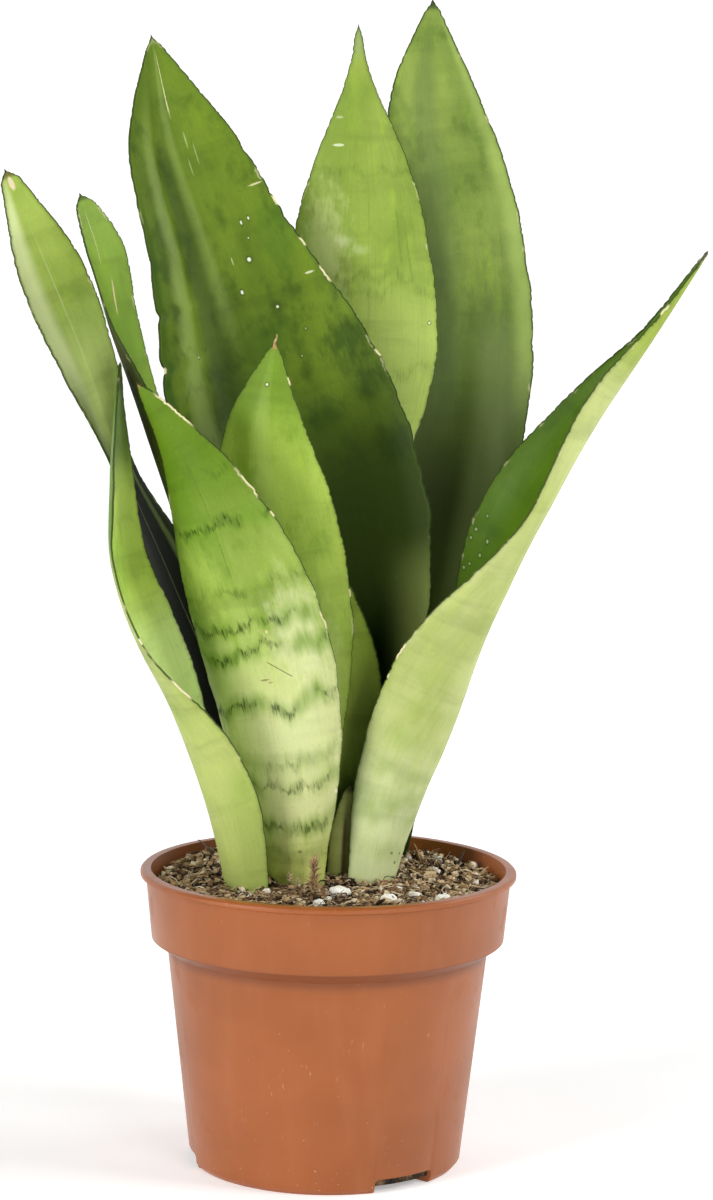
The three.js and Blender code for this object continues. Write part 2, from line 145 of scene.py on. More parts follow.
# Each row: x, y and z of the midrib, flat width, turn of the upper face in degrees (0 to the
# front, 90 to the right, 180 to the back), and how far the left and right halves curl up
LEAF_ROWS = {
    "leaf_far_left": (
        (-17, 24, 56, 14, 50, 50, 50), (-21.5, 26, 98, 20, 54, 46, 46),
        (-36, 26, 143, 32, 58, 40, 36), (-53.5, 24, 185, 36, 71, 30, 20),
        (-69.5, 22.5, 222, 21, 76, 16, 12), (-79.5, 21, 252, 23, 46, 20, 18),
        (-91.6, 18, 283, 22.5, 25, 26, 16), (-104.6, 14, 314, 5, 22, 20, 20),
    ),
    "leaf_near_left": (
        (-24, -8, 56, 15, 142, 55, 55), (-28, -12, 88, 20, 140, 60, 60),
        (-34.5, -13, 114, 30, 128, 60, 72), (-46, -12, 141, 37, 106, 44, 84),
        (-58, -12, 167, 39, 82, 26, 52), (-67, -10, 193, 36, 78, 24, 32),
        (-68.5, -8, 218, 28, 80, 24, 26), (-68, -8, 238, 15, 82, 20, 20),
        (-67, -8, 255, 2, 82, 15, 15),
    ),
    "leaf_front": (
        (-9, 0, 56, 16, 172, 55, 55), (-11, -5, 91, 22, 170, 60, 60),
        (-15.5, -9, 125, 40, 165, 52, 52), (-21, -12, 156, 48, 160, 50, 45),
        (-30, -14.5, 186, 46, 155, 45, 36), (-39.4, -15.5, 212, 32.6, 152, 40, 32),
        (-49.6, -15, 233, 15.4, 150, 30, 28), (-61, -15, 250, 2, 150, 20, 20),
    ),
    "leaf_back_left": (
        (-18, 11, 56, 12, 76, 50, 50), (-23, 10.5, 104, 17, 80, 50, 50),
        (-33, 8, 150, 17, 88, 42, 42), (-45.5, 3.8, 195, 18, 86, 42, 40),
        (-59.2, 0.8, 236, 23.4, 82, 78, 38), (-68.8, 2, 266, 20.8, 66, 48, 34),
        (-73.6, 3, 290, 17, 50, 26, 26), (-80.3, 4, 307, 5.5, 40, 15, 15),
    ),
    "leaf_centre": (
        (1, 22, 56, 17, -5, 50, 50), (0, 25, 104, 28, 0, 48, 48), (0, 29, 153, 62, 3, 38, 36),
        (-9, 34.5, 200, 84, 6, 42, 32), (-25, 38, 245, 82, 8, 70, 25),
        (-40, 38.5, 288, 55, 9, 70, 18), (-53, 36, 325, 36, 12, 48, 18),
        (-60, 32, 357, 2, 14, 30, 18),
    ),
    "leaf_heart": (
        (-8, 6, 56, 12, 180, 45, 45), (-8.5, 7, 98, 15, 180, 45, 45),
        (-10, 5, 134, 30, 178, 38, 38), (-14, 3, 169, 43, 175, 30, 30),
        (-19, 2, 203, 42, 172, 26, 26), (-22, 2, 234, 27, 172, 24, 24),
        (-19, 2, 262, 2, 175, 15, 15),
    ),
    "leaf_rear_middle": (
        (2.5, 32, 56, 11, 180, 45, 45), (4.5, 38, 108, 16, 180, 40, 40),
        (6, 44, 158, 20, 178, 30, 30), (6.5, 48, 208, 29, 178, 22, 22),
        (7, 50, 256, 53, 178, 18, 18), (7.6, 49.7, 305, 39.5, 180, 18, 18),
        (6.4, 47.6, 345, 8.5, 180, 18, 18), (6, 46, 361.5, 1.4, 180, 10, 10),
    ),
    "leaf_rear_right": (
        (16, 34, 56, 11, -12, 45, 45), (20, 45, 104, 20, -10, 42, 42),
        (28, 53, 155, 32, -6, 36, 36), (36, 57, 205, 45, -3, 34, 34),
        (40.5, 59, 252, 51, 0, 32, 32), (38, 59, 297, 46, 0, 30, 30), (31, 57, 338, 31, 0, 28, 28),
        (30, 55, 370.5, 2, 0, 15, 15),
    ),
    "leaf_right": (
        (11, 3, 56, 14, -152, 55, 55), (15.7, 3, 90, 20, -152, 60, 60),
        (23.7, 4, 120, 34, -144, 60, 60), (38.5, 6, 150, 50, -122, 66, 66),
        (53, 8, 180, 54, -92, 70, 70), (64.5, 8, 208, 46, -75, 62, 62),
        (80.5, 5, 236, 36, -86, 65, 65), (99, 2, 265, 11, -90, 100, 100),
        (115, -3, 292, 2.5, -90, 40, 40),
    ),
    "leaf_inner_short": (
        (6, 16, 56, 10, 0, 40, 40), (6, 16.5, 98, 14, 0, 40, 40), (5.5, 17, 130, 24, 0, 35, 35),
        (5, 16, 160, 21, 0, 30, 30), (4, 15, 186, 2, 0, 15, 15),
    ),
    "leaf_sheath": (
        (5, 8.5, 56, 9, 180, 40, 40), (5, 8, 84, 12, 180, 40, 40), (5.5, 8, 104, 11, 180, 38, 38),
        (6.5, 8, 121, 2, 180, 20, 20),
    ),
}

# What every leaf's look starts from, with lengths in millimetres. Colours are a pale and a deep
# tone. Along is measured up the midrib from the leaf's hidden foot, and across from the midrib.
# A share runs from -1 at one margin to 1 at the other.
# zones: colour, face (0 under, 1 upper), and where along it starts to show and is full
# bands: along and strength of each crossband; strokes: strength of its broken dark strokes
# halo: colour and strength of the soft green on either side of it
# ribs: share, half width as a share, colour, strength, and the stretch along that it covers
# patches, scars and drops: along, across, half length, half width, colour and strength
# scratches: the same, with the lean across for each unit along before the colour
# tip: colour and length of the dry point; waves: swing of the margins
# mottling, streaks, bloom: strength of the dark clouds, the fibres and the pale scuffs
# nicks: along, side (-1 or 1) and half length of a dry bit of margin
# notches: along, side, half length and depth of a bite out of the margin
# folds: share, height, width as a share, and the stretch along that it covers
# A drop is a pale disc, a painted glint, in a painted dark ring over a small raised bump.
# Some zones and ribs are painted shade or painted light; each such one is marked on its leaf.
LEAF_LOOK = {
    "upper": ("#7FA63F", "#4F7A22"),
    "under": ("#A6C168", "#84A845"),
    "zones": (),
    "bands": (),
    "band_colour": "#253C06",
    "halo": ("#6F8F2E", 0.3),
    "strokes": 1.0,
    "mottling": 0.5,
    "streaks": 0.35,
    "bloom": 0.3,
    "ribs": (),
    "patches": (),
    "scars": (),
    "scratches": (),
    "drops": (),
    "nicks": (),
    "notches": (),
    "folds": (),
    "tip": ("#8A7A4A", 1.5),
    "waves": 0.5,
    "gloss": 0.15,
}

# What differs from that on each leaf
LEAF_LOOKS = {
    "leaf_far_left": {
        "upper": ("#9BB052", "#769438"),
        "under": ("#9AB149", "#708F2E"),
        # Painted light: the pale zone on the middle of the upper face. Painted shade: the
        # near-black zone below it.
        "zones": (("#C4D680", 1, 236, 196), ("#141B06", 1, 190, 170)),
        "bands": ((241, 0.15), (222, 0.25), (206, 0.2), (190, 0.3), (176, 0.15)),
        "strokes": 0.3,
        "streaks": 0.4,
        "bloom": 0.5,
        "ribs": (
            (-0.75, 0.55, "#E6EEB4", 0.6, 174, 280), (0, 0.04, "#D6E2AC", 0.35, 60, 268),
            # Painted shade: the dark rib near the right margin, low down.
            (0.62, 0.15, "#8E9C62", 0.6, 92, 196), (0.88, 0.16, "#3A4428", 0.45, 112, 172),
        ),
        "gloss": 0.04,
        "scars": ((270.5, 0, 2.4, 1.0, "#D9C9A4", 0.95),),
        "tip": ("#6F6A3A", 2.0),
    },
    "leaf_near_left": {
        "upper": ("#BEDA5C", "#98BC42"),
        "under": ("#AEB96A", "#93A74E"),
        # Painted light: the pale zone low on the upper face. Painted shade: the dark zone near its
        # tip.
        "zones": (("#D0E890", 1, 140, 112), ("#5C7A22", 1, 166, 184), ("#5F7F24", 0, 140, 156)),
        "bands": (
            (169, 0.5), (158, 0.3), (140, 0.3), (128, 0.25), (112, 0.2), (96, 0.2), (78, 0.15),
        ),
        "strokes": 0.45,
        "nicks": ((103, -1, 4), (121, -1, 1)),
        "notches": ((140, -1, 2.5, 0.8), (152, -1, 2, 0.6), (165, -1, 2.5, 0.8)),
        # The tip is a dark point of painted shade, not a dry one.
        "tip": ("#3F4F1A", 9),
        "waves": 0.8,
    },
    "leaf_front": {
        "under": ("#97AC50", "#748D34"),
        "zones": (("#C8CE90", 0, 132, 84), ("#BCC56C", 0, 62, 38), ("#5C7A18", 0, 136, 174)),
        "bands": (
            (154, 1.0), (171, 0.35), (133, 0.45), (121, 0.9), (112, 0.9), (94, 0.85), (76, 0.4),
            (68, 0.7), (54, 0.75), (44, 0.3),
        ),
        "halo": ("#6A8C26", 0.8),
        "mottling": 0.8,
        "ribs": ((0, 0.012, "#3A4A1A", 0.6, 130, 190),),
        "patches": (
            (114, -15, 20, 10, "#DADCAE", 0.42), (112, 18, 34, 9, "#4E6A1C", 0.4),
            (84, -8, 16, 10, "#C6D29A", 0.35), (100, 12, 22, 6, "#C2D088", 0.4),
            (160, 8, 20, 6, "#587A1C", 0.5), (145, 2, 14, 5, "#61831F", 0.4),
        ),
        "scars": (
            (103, -1, 0.35, 1.6, "#7B5A34", 0.7), (102, -2.5, 0.4, 0.8, "#8A6A3C", 0.5),
            (118, -5.6, 0.6, 0.5, "#D8C98A", 0.7), (63, -17.5, 0.8, 0.8, "#EDE6CF", 0.9),
            (50, -15, 0.6, 0.6, "#E5DCC0", 0.8), (46, -3, 0.6, 0.6, "#6B4B2A", 0.6),
        ),
        "scratches": ((105.6, -6.2, 3.3, 0.3, 1.07, "#5A6426", 0.75),),
        "nicks": ((192, -1, 7), (162, -1, 4), (152, -1, 1), (116, -1, 3)),
        "notches": ((164, -1, 2, 0.5), (158, -1, 1.2, 0.5), (118, -1, 1.5, 0.4)),
        "tip": ("#8F7A48", 1.5),
    },
    "leaf_back_left": {
        "upper": ("#7C9938", "#587825"),
        # The near-black under face is painted shade.
        "under": ("#33380F", "#222608"),
        "bands": ((190, 0.2), (170, 0.2)),
        "ribs": ((-0.3, 0.04, "#CFCF96", 0.6, 236, 257),),
        "scars": ((227, 1.4, 6, 0.45, "#C9B98C", 0.8),),
        "tip": ("#4C5A28", 1.5),
    },
    "leaf_centre": {
        "upper": ("#667E1E", "#3F560E"),
        # Painted shade: the dark zone low on the upper face.
        "zones": (("#33450D", 1, 204, 150),),
        "bands": ((262, 0.12), (238, 0.15), (214, 0.3), (199, 0.35), (182, 0.35), (170, 0.25)),
        "mottling": 1.0,
        "streaks": 0.3,
        # Painted highlights: the pale ribs at -0.56 and -0.08 on ridges; painted light: the pale
        # rib at 1.0.
        "ribs": (
            # Painted shade: the dark ribs at -0.25 in the groove and at -0.93 along the left
            # margin.
            (0.04, 0.025, "#E2D9A8", 0.85, 284, 308), (-0.56, 0.17, "#A4B86C", 0.32, 110, 300),
            (-0.08, 0.12, "#A4B86C", 0.18, 200, 330), (-0.25, 0.2, "#233A08", 0.5, 140, 292),
            (-0.93, 0.1, "#2C4A12", 0.6, 180, 274), (1.0, 0.5, "#B4C468", 0.66, 20, 138),
        ),
        "patches": (
            (200, 33, 10, 9, "#213A08", 0.7), (184, 36, 8, 9, "#213A08", 0.7),
            (163, 37, 7, 8, "#1D3306", 0.6), (177, 18, 8, 9, "#27430C", 0.45),
            (206, 8, 8, 14, "#35580F", 0.35), (240, 22, 16, 8, "#3C6414", 0.35),
        ),
        "scars": (
            (277, 3.6, 3.0, 0.25, "#B9C88F", 0.4), (272, 5.6, 4.0, 0.22, "#B9C88F", 0.35),
            (268, 2.6, 3.0, 0.22, "#B9C88F", 0.3), (235, 5.2, 1.6, 0.2, "#C6D2A4", 0.5),
            (224, 28, 0.4, 1.6, "#DCDDB8", 0.7), (256, 20.5, 0.35, 2.4, "#D8CFA0", 0.7),
        ),
        "drops": (
            (245.8, 12.0, 0.9, 0.45, "#E4EAD0", 0.9), (246.4, 14.7, 0.7, 0.4, "#E4EAD0", 0.9),
            (233.9, 10.6, 0.9, 0.8, "#F0F3E2", 1.0), (240.5, 12.6, 0.4, 0.35, "#D5DFB8", 0.8),
            (224.6, 5.0, 0.9, 0.55, "#EEF1DE", 1.0), (216.6, 14.5, 0.65, 0.6, "#F0E9C8", 1.0),
            (209.3, -17.4, 0.55, 0.5, "#DDE5C0", 0.9), (207, 21, 0.5, 0.5, "#A9C07A", 0.6),
            (199, 17, 0.5, 0.5, "#A9C07A", 0.6),
        ),
        "nicks": ((249, 1, 1.6), (234, 1, 1.5), (222, 1, 3), (192, 1, 1.5), (209, -1, 1)),
        "folds": (
            (-0.56, 1.4, 0.16, 150, 304), (-0.28, -1.2, 0.16, 155, 290),
            (-1.0, -1.2, 0.14, 175, 270),
        ),
        "notches": (
            (226, -1, 1.6, 3.2), (209, -1, 2.0, 3.6), (244, -1, 1.5, 0.8), (265, -1, 1.5, 0.6),
            (268, 1, 1.4, 0.5), (258, 1, 1.2, 0.5), (252, 1, 1.4, 0.7), (243, 1, 1.2, 0.4),
            (213, 1, 1.2, 0.4),
        ),
        "tip": ("#7C8A4C", 2.0),
        "waves": 0.6,
    },
    "leaf_heart": {
        "under": ("#A2BA4C", "#7E9B33"),
        "zones": (("#6C8A26", 0, 168, 194),),
        "bands": ((150, 0.12), (118, 0.15)),
        "mottling": 0.8,
        # The pale rib down the middle is a painted highlight on the ridge.
        "ribs": ((0.08, 0.3, "#B4CC70", 0.2, 40, 215),),
        "patches": ((100, -10, 30, 8, "#B2C878", 0.4), (176, 7, 16, 4, "#6C8C20", 0.5)),
        "nicks": ((196, -1, 1.2), (60, -1, 7), (124, -1, 1.2)),
        "drops": ((194, 0.5, 0.6, 0.5, "#E8E6C8", 0.9),),
        "folds": ((0.05, -0.6, 0.3, 50, 205),),
        "tip": ("#B98A5C", 1.6),
    },
    "leaf_rear_middle": {
        "under": ("#889D41", "#6E882E"),
        "zones": (("#A5B85C", 0, 236, 204), ("#8DA042", 0, 286, 298)),
        "bands": ((260, 0.5), (226, 0.6), (222, 0.4), (196, 0.4), (241, 0.2)),
        "strokes": 0.6,
        "streaks": 0.5,
        "bloom": 0.6,
        "ribs": (
            (-0.57, 0.02, "#4E7420", 0.55, 228, 250), (-0.68, 0.018, "#4E7420", 0.5, 224, 246),
            (-0.8, 0.015, "#4E7420", 0.4, 236, 252), (-0.12, 0.012, "#5F8430", 0.3, 200, 285),
        ),
        "patches": (
            (232, 12, 26, 9, "#C3CA8C", 0.45), (238, 5, 2.2, 4, "#D5DEB2", 0.25),
            (235, 0, 2.2, 3, "#D5DEB2", 0.2),
        ),
        "scars": ((269, 7.0, 0.5, 1.9, "#D5DDB8", 0.75), (278, 6.5, 0.45, 1.2, "#C9D4A6", 0.45)),
        "drops": ((211.7, -23.5, 0.5, 0.5, "#E8ECCF", 0.9),),
        "tip": ("#8C9F5C", 9.0),
    },
    "leaf_rear_right": {
        "upper": ("#859946", "#5E762D"),
        # Painted shade: both dark zones low on the upper face.
        "zones": (("#4E6122", 1, 262, 190), ("#2D360F", 1, 208, 150)),
        "bands": ((248, 0.2), (228, 0.25), (214, 0.3), (196, 0.2), (176, 0.2)),
        "strokes": 0.3,
        "mottling": 0.9,
        "bloom": 0.6,
        "ribs": (
            (-0.2, 0.4, "#55683A", 0.45, 170, 320), (0.5, 0.4, "#7E8E58", 0.28, 110, 226),
            # Painted light: the pale rib along the right margin.
            (0.95, 0.3, "#9AB05A", 0.55, 176, 340),
        ),
        "patches": ((214, 8, 12, 10, "#34481A", 0.4), (244, -8, 24, 10, "#4E6426", 0.45)),
        "tip": ("#2C3A1C", 2.5),
    },
    "leaf_right": {
        "upper": ("#537311", "#3E5D09"),
        "under": ("#B7C07C", "#A1AF5E"),
        "zones": (("#CAD49C", 0, 90, 52), ("#93A548", 0, 205, 232)),
        "bands": (
            (116, 0.15), (104, 0.2), (92, 0.3), (80, 0.45), (70, 0.4), (62, 0.45), (55, 0.5),
            (46, 0.35),
        ),
        "halo": ("#86A040", 0.85),
        "strokes": 0.12,
        "scars": (
            (47, -8.8, 1.2, 0.9, "#4E4A2A", 0.7), (44.4, -1.8, 0.5, 0.5, "#5E5530", 0.7),
            (44.4, -5.4, 0.5, 0.5, "#5E5530", 0.7), (41.3, -3.9, 0.6, 0.5, "#5E5530", 0.7),
        ),
        "drops": (
            (147, -24.0, 0.6, 0.5, "#C3D29A", 0.7), (137, -25.0, 0.7, 0.6, "#C3D29A", 0.7),
            (139, -23.0, 0.6, 0.5, "#C3D29A", 0.7), (143, -19.5, 0.7, 0.6, "#C3D29A", 0.7),
            (150, -22.8, 0.6, 0.6, "#C3D29A", 0.7), (148, -17.7, 0.8, 0.6, "#C3D29A", 0.7),
            (155, -20, 0.5, 0.5, "#B6C890", 0.6), (134, -20, 0.5, 0.5, "#B6C890", 0.6),
        ),
        "nicks": ((105, 1, 3), (96, 1, 1), (240, 1, 2)),
        "tip": ("#CFC4A4", 3.0),
    },
    "leaf_inner_short": {
        "upper": ("#AFC64E", "#8AA638"),
    },
    "leaf_sheath": {
        "under": ("#D8DD88", "#B2BC5C"),
        "streaks": 0.6,
        "ribs": ((0.1, 0.14, "#6A5040", 0.8, 26, 56),),
        "tip": ("#6F6238", 3.0),
    },
}

# Grains of perlite: x, y, size and turn
PERLITE = (
    (3.4, -15, 3.4, 10), (21.5, -8, 2.2, 60), (27, -19, 2.4, 130), (19, -26, 2.6, 200),
    (36, -24, 3.2, 280), (-3, -33, 2.2, 330), (36, 31, 1.8, 40), (47, 24, 1.8, 90),
)

# Twigs: tones, thickness at each point, and the points as x, y and height above the soil
TWIG_RADIUS = 0.9
TWIGS = {
    "twig_tan": (
        ("#B98E5E", "#8A6238"), (0.3, 0.5, 0.75), ((28, 36, 4.4), (29.5, 31, 2.8), (31, 26, -1.6)),
    ),
    "twig_dark": (
        ("#4A3A30", "#2A201A"), (0.35, 0.55, 0.8), ((44.5, 29, 4.4), (43, 26, 2.4), (41, 22, -1.6)),
    ),
    "twig_left": (
        ("#6B5443", "#3E2E22"), (0.25, 0.5, 0.8), ((-43, 33, 4.6), (-40, 31, 3.4), (-36, 27, -1.6)),
    ),
}

# The moss stem, and the sprigs beside it as x, y and height
MOSS_PLACE = (-4.5, -15)
MOSS_HEIGHT = 14.5
MOSS_DEPTH = 1.8
SPRIGS = ((-9.5, -18.6, 5.5), (-12.3, -10, 4.5), (-7.5, -20.5, 4))

HEART_THREAD = ((-19.1, 2, 260.6), (-19.4, 1.7, 262.2), (-18.4, 1.2, 263.6), (-18.5, 1, 264.9))
THREAD_RADII = (0.55, 0.4, 0.28, 0.2)

# Crumbs, bark flakes and fibres strewn over the soil: how many, the smallest size, how far sizes
# go beyond it, and the power that makes large ones rare
CRUMBS = (6000, 0.28, 1.5, 5)
FLAKES = (320, 0.6, 1.6, 3)
FIBRES = (1300, 1.2, 3.2, 2)
COARSE_FROM = 1.7
CRUMB_SHAPES = 5
FIBRE_BENDS = (0.15, 0.4, -0.3, 0.7)
FIBRE_RINGS = 6
FIBRE_SIDES = 4
WHITE_CRUMBS = 0.05
STREW_SEED = 7

# The studio, in metres: a sweep of floor, bend and wall, and softboxes that aim at the plant
SWEEP_FRONT = 8.0
SWEEP_BACK = 2
SWEEP_SIDE = 4
SWEEP_BEND = 1.0
SWEEP_TOP = 4
AIM_HEIGHT = 0.18
LIGHT_DISTANCE = 2

# Softboxes: turn from the front to the right, rise, width in metres and watts
LIGHTS = {
    "left_key": (-50, 7, 0.7, 24),
    "left_top": (-48, 42, 0.7, 11),
    "front_fill": (30, 10, 0.7, 12),
    "right_key": (72, 30, 0.7, 20),
    "right_back": (112, 35, 0.8, 9),
    "left_back": (-130, 30, 0.8, 3),
}
ROOM_LIGHT = 0.05


def add_object(name, data):
    """Puts a new object in the scene."""
    piece = bpy.data.objects.new(name, data)
    bpy.context.scene.collection.objects.link(piece)
    return piece


def make_camera():
    """The camera that was fitted to the pot's outline in the photograph."""
    yaw, pitch, roll = np.radians((CAMERA_YAW, CAMERA_PITCH, CAMERA_ROLL))
    ahead = Vector((np.sin(yaw) * np.cos(pitch), np.cos(yaw) * np.cos(pitch), -np.sin(pitch)))
    level = Vector((np.cos(yaw), -np.sin(yaw), 0))
    above = level.cross(ahead)
    right = np.cos(roll) * level + np.sin(roll) * above
    top = -np.sin(roll) * level + np.cos(roll) * above
    lens = bpy.data.cameras.new("camera")
    lens.sensor_fit = "VERTICAL"
    lens.sensor_height = SENSOR
    lens.lens = LENS_PIXELS / FRAME_HEIGHT * SENSOR
    lens.clip_start = 0.05
    camera = add_object("camera", lens)
    turn = Matrix((right, top, -ahead)).transposed().to_4x4()
    camera.matrix_world = Matrix.Translation(Vector(CAMERA_PLACE) * MM) @ turn
    bpy.context.scene.camera = camera


def tint(colour):
    """A colour such as #A0B1C2 as linear red, green, blue and alpha."""
    parts = [int(colour[i : i + 2], 16) / 255 for i in (1, 3, 5)]
    linear = [p / 12.92 if p <= 0.04045 else ((p + 0.055) / 1.055) ** 2.4 for p in parts]
    return (*linear, 1)


class Share:
    """A number that varies over a surface. Sums on it add their Math nodes."""

    def __init__(self, finish, socket):
        self.finish = finish
        self.socket = socket

    def __add__(self, other):
        return self.finish.maths("ADD", self, other)

    def __sub__(self, other):
        return self.finish.maths("SUBTRACT", self, other)

    def __rsub__(self, other):
        return self.finish.maths("SUBTRACT", other, self)

    def __mul__(self, other):
        return self.finish.maths("MULTIPLY", self, other)

    def __truediv__(self, other):
        return self.finish.maths("DIVIDE", self, other)

    def size(self):
        return self.finish.maths("ABSOLUTE", self)

    def rise(self, low, high):
        """0 below low, 1 above high and smooth between; it falls where low is the larger."""
        if low > high:
            return 1 - self.rise(high, low)
        settings = {"interpolation_type": "SMOOTHSTEP"}
        return self.finish.node("ShaderNodeMapRange", settings, {0: self, 1: low, 2: high})


class Finish:
    """A material, built up from nodes round one Principled shader."""

    def __init__(self, name, gloss):
        self.material = bpy.data.materials.new(name)
        self.material.use_nodes = True
        self.tree = self.material.node_tree
        self.shader = self.tree.nodes["Principled BSDF"]
        self.shader.inputs["Specular IOR Level"].default_value = gloss
        self.base = None

    def join(self, socket, value):
        if isinstance(value, Share):
            self.tree.links.new(value.socket, socket)
        else:
            socket.default_value = tint(value) if isinstance(value, str) else value

    def node(self, kind, settings, inputs, output=0):
        """Adds a node: its settings first, then the values or links of its sockets."""
        node = self.tree.nodes.new(kind)
        for name, value in settings.items():
            setattr(node, name, value)
        for socket, value in inputs.items():
            self.join(node.inputs[socket], value)
        return Share(self, node.outputs[output])

    def maths(self, operation, *values):
        return self.node("ShaderNodeMath", {"operation": operation}, dict(enumerate(values)))

    def vector_maths(self, operation, first, second, output=0):
        settings = {"operation": operation}
        return self.node("ShaderNodeVectorMath", settings, {0: first, 1: second}, output)

    def mix(self, share, first, second, blend="MIX"):
        """The first colour where share is 0 and the second, or its blend, where it is 1."""
        settings = {"data_type": "RGBA", "clamp_factor": True, "blend_type": blend}
        return self.node("ShaderNodeMix", settings, {0: share, 6: first, 7: second}, output=2)

    def paint(self, share, colour, blend="MIX"):
        """Lays a colour, or its blend, over the base colour where share is 1."""
        self.base = self.mix(share, self.base, colour, blend)

    def split(self, vector):
        """The three numbers of a vector."""
        node = self.tree.nodes.new("ShaderNodeSeparateXYZ")
        self.join(node.inputs[0], vector)
        return [Share(self, socket) for socket in node.outputs]

    def noise(self, x, y, z, detail=2, output=0):
        """Soft noise about 1 unit across, from 0 to 1; output 1 is three such numbers."""
        point = self.node("ShaderNodeCombineXYZ", {}, {0: x, 1: y, 2: z})
        inputs = {"Vector": point, "Scale": 1, "Detail": detail, "Roughness": 0.55}
        return self.node("ShaderNodeTexNoise", {}, inputs, output)

    def away_from(self, mark, lie):
        """Distance from a mark on a leaf, 1 at the edge of its oval."""
        along, across, half_length, half_width = mark[:4]
        scaled = self.vector_maths("MULTIPLY", lie, (1 / half_width, 1 / half_length, 0))
        middle = (across / half_width, along / half_length, 0)
        return self.vector_maths("DISTANCE", scaled, middle, output=1)

    def attribute(self, name, output=1):
        return self.node("ShaderNodeAttribute", {"attribute_name": name}, {}, output)

    def place(self):
        """Object coordinates in millimetres."""
        coordinates = self.node("ShaderNodeTexCoord", {}, {}, output=3)
        return [part * METRE for part in self.split(coordinates)]

    def grain(self, place, flat, upright, detail=2, shift=0):
        """Noise over an object, with this many waves to a millimetre sideways and upwards."""
        x, y, z = place
        return self.noise(x * flat, y * flat, z * upright + shift, detail)

    def done(self, rough, relief, depth, strength):
        """Joins base colour, roughness and a bump of this depth, and returns the material."""
        inputs = {"Height": relief, "Distance": depth * MM, "Strength": strength}
        bump = self.node("ShaderNodeBump", {}, inputs)
        for name, value in (("Base Color", self.base), ("Roughness", rough), ("Normal", bump)):
            self.join(self.shader.inputs[name], value)
        return self.material


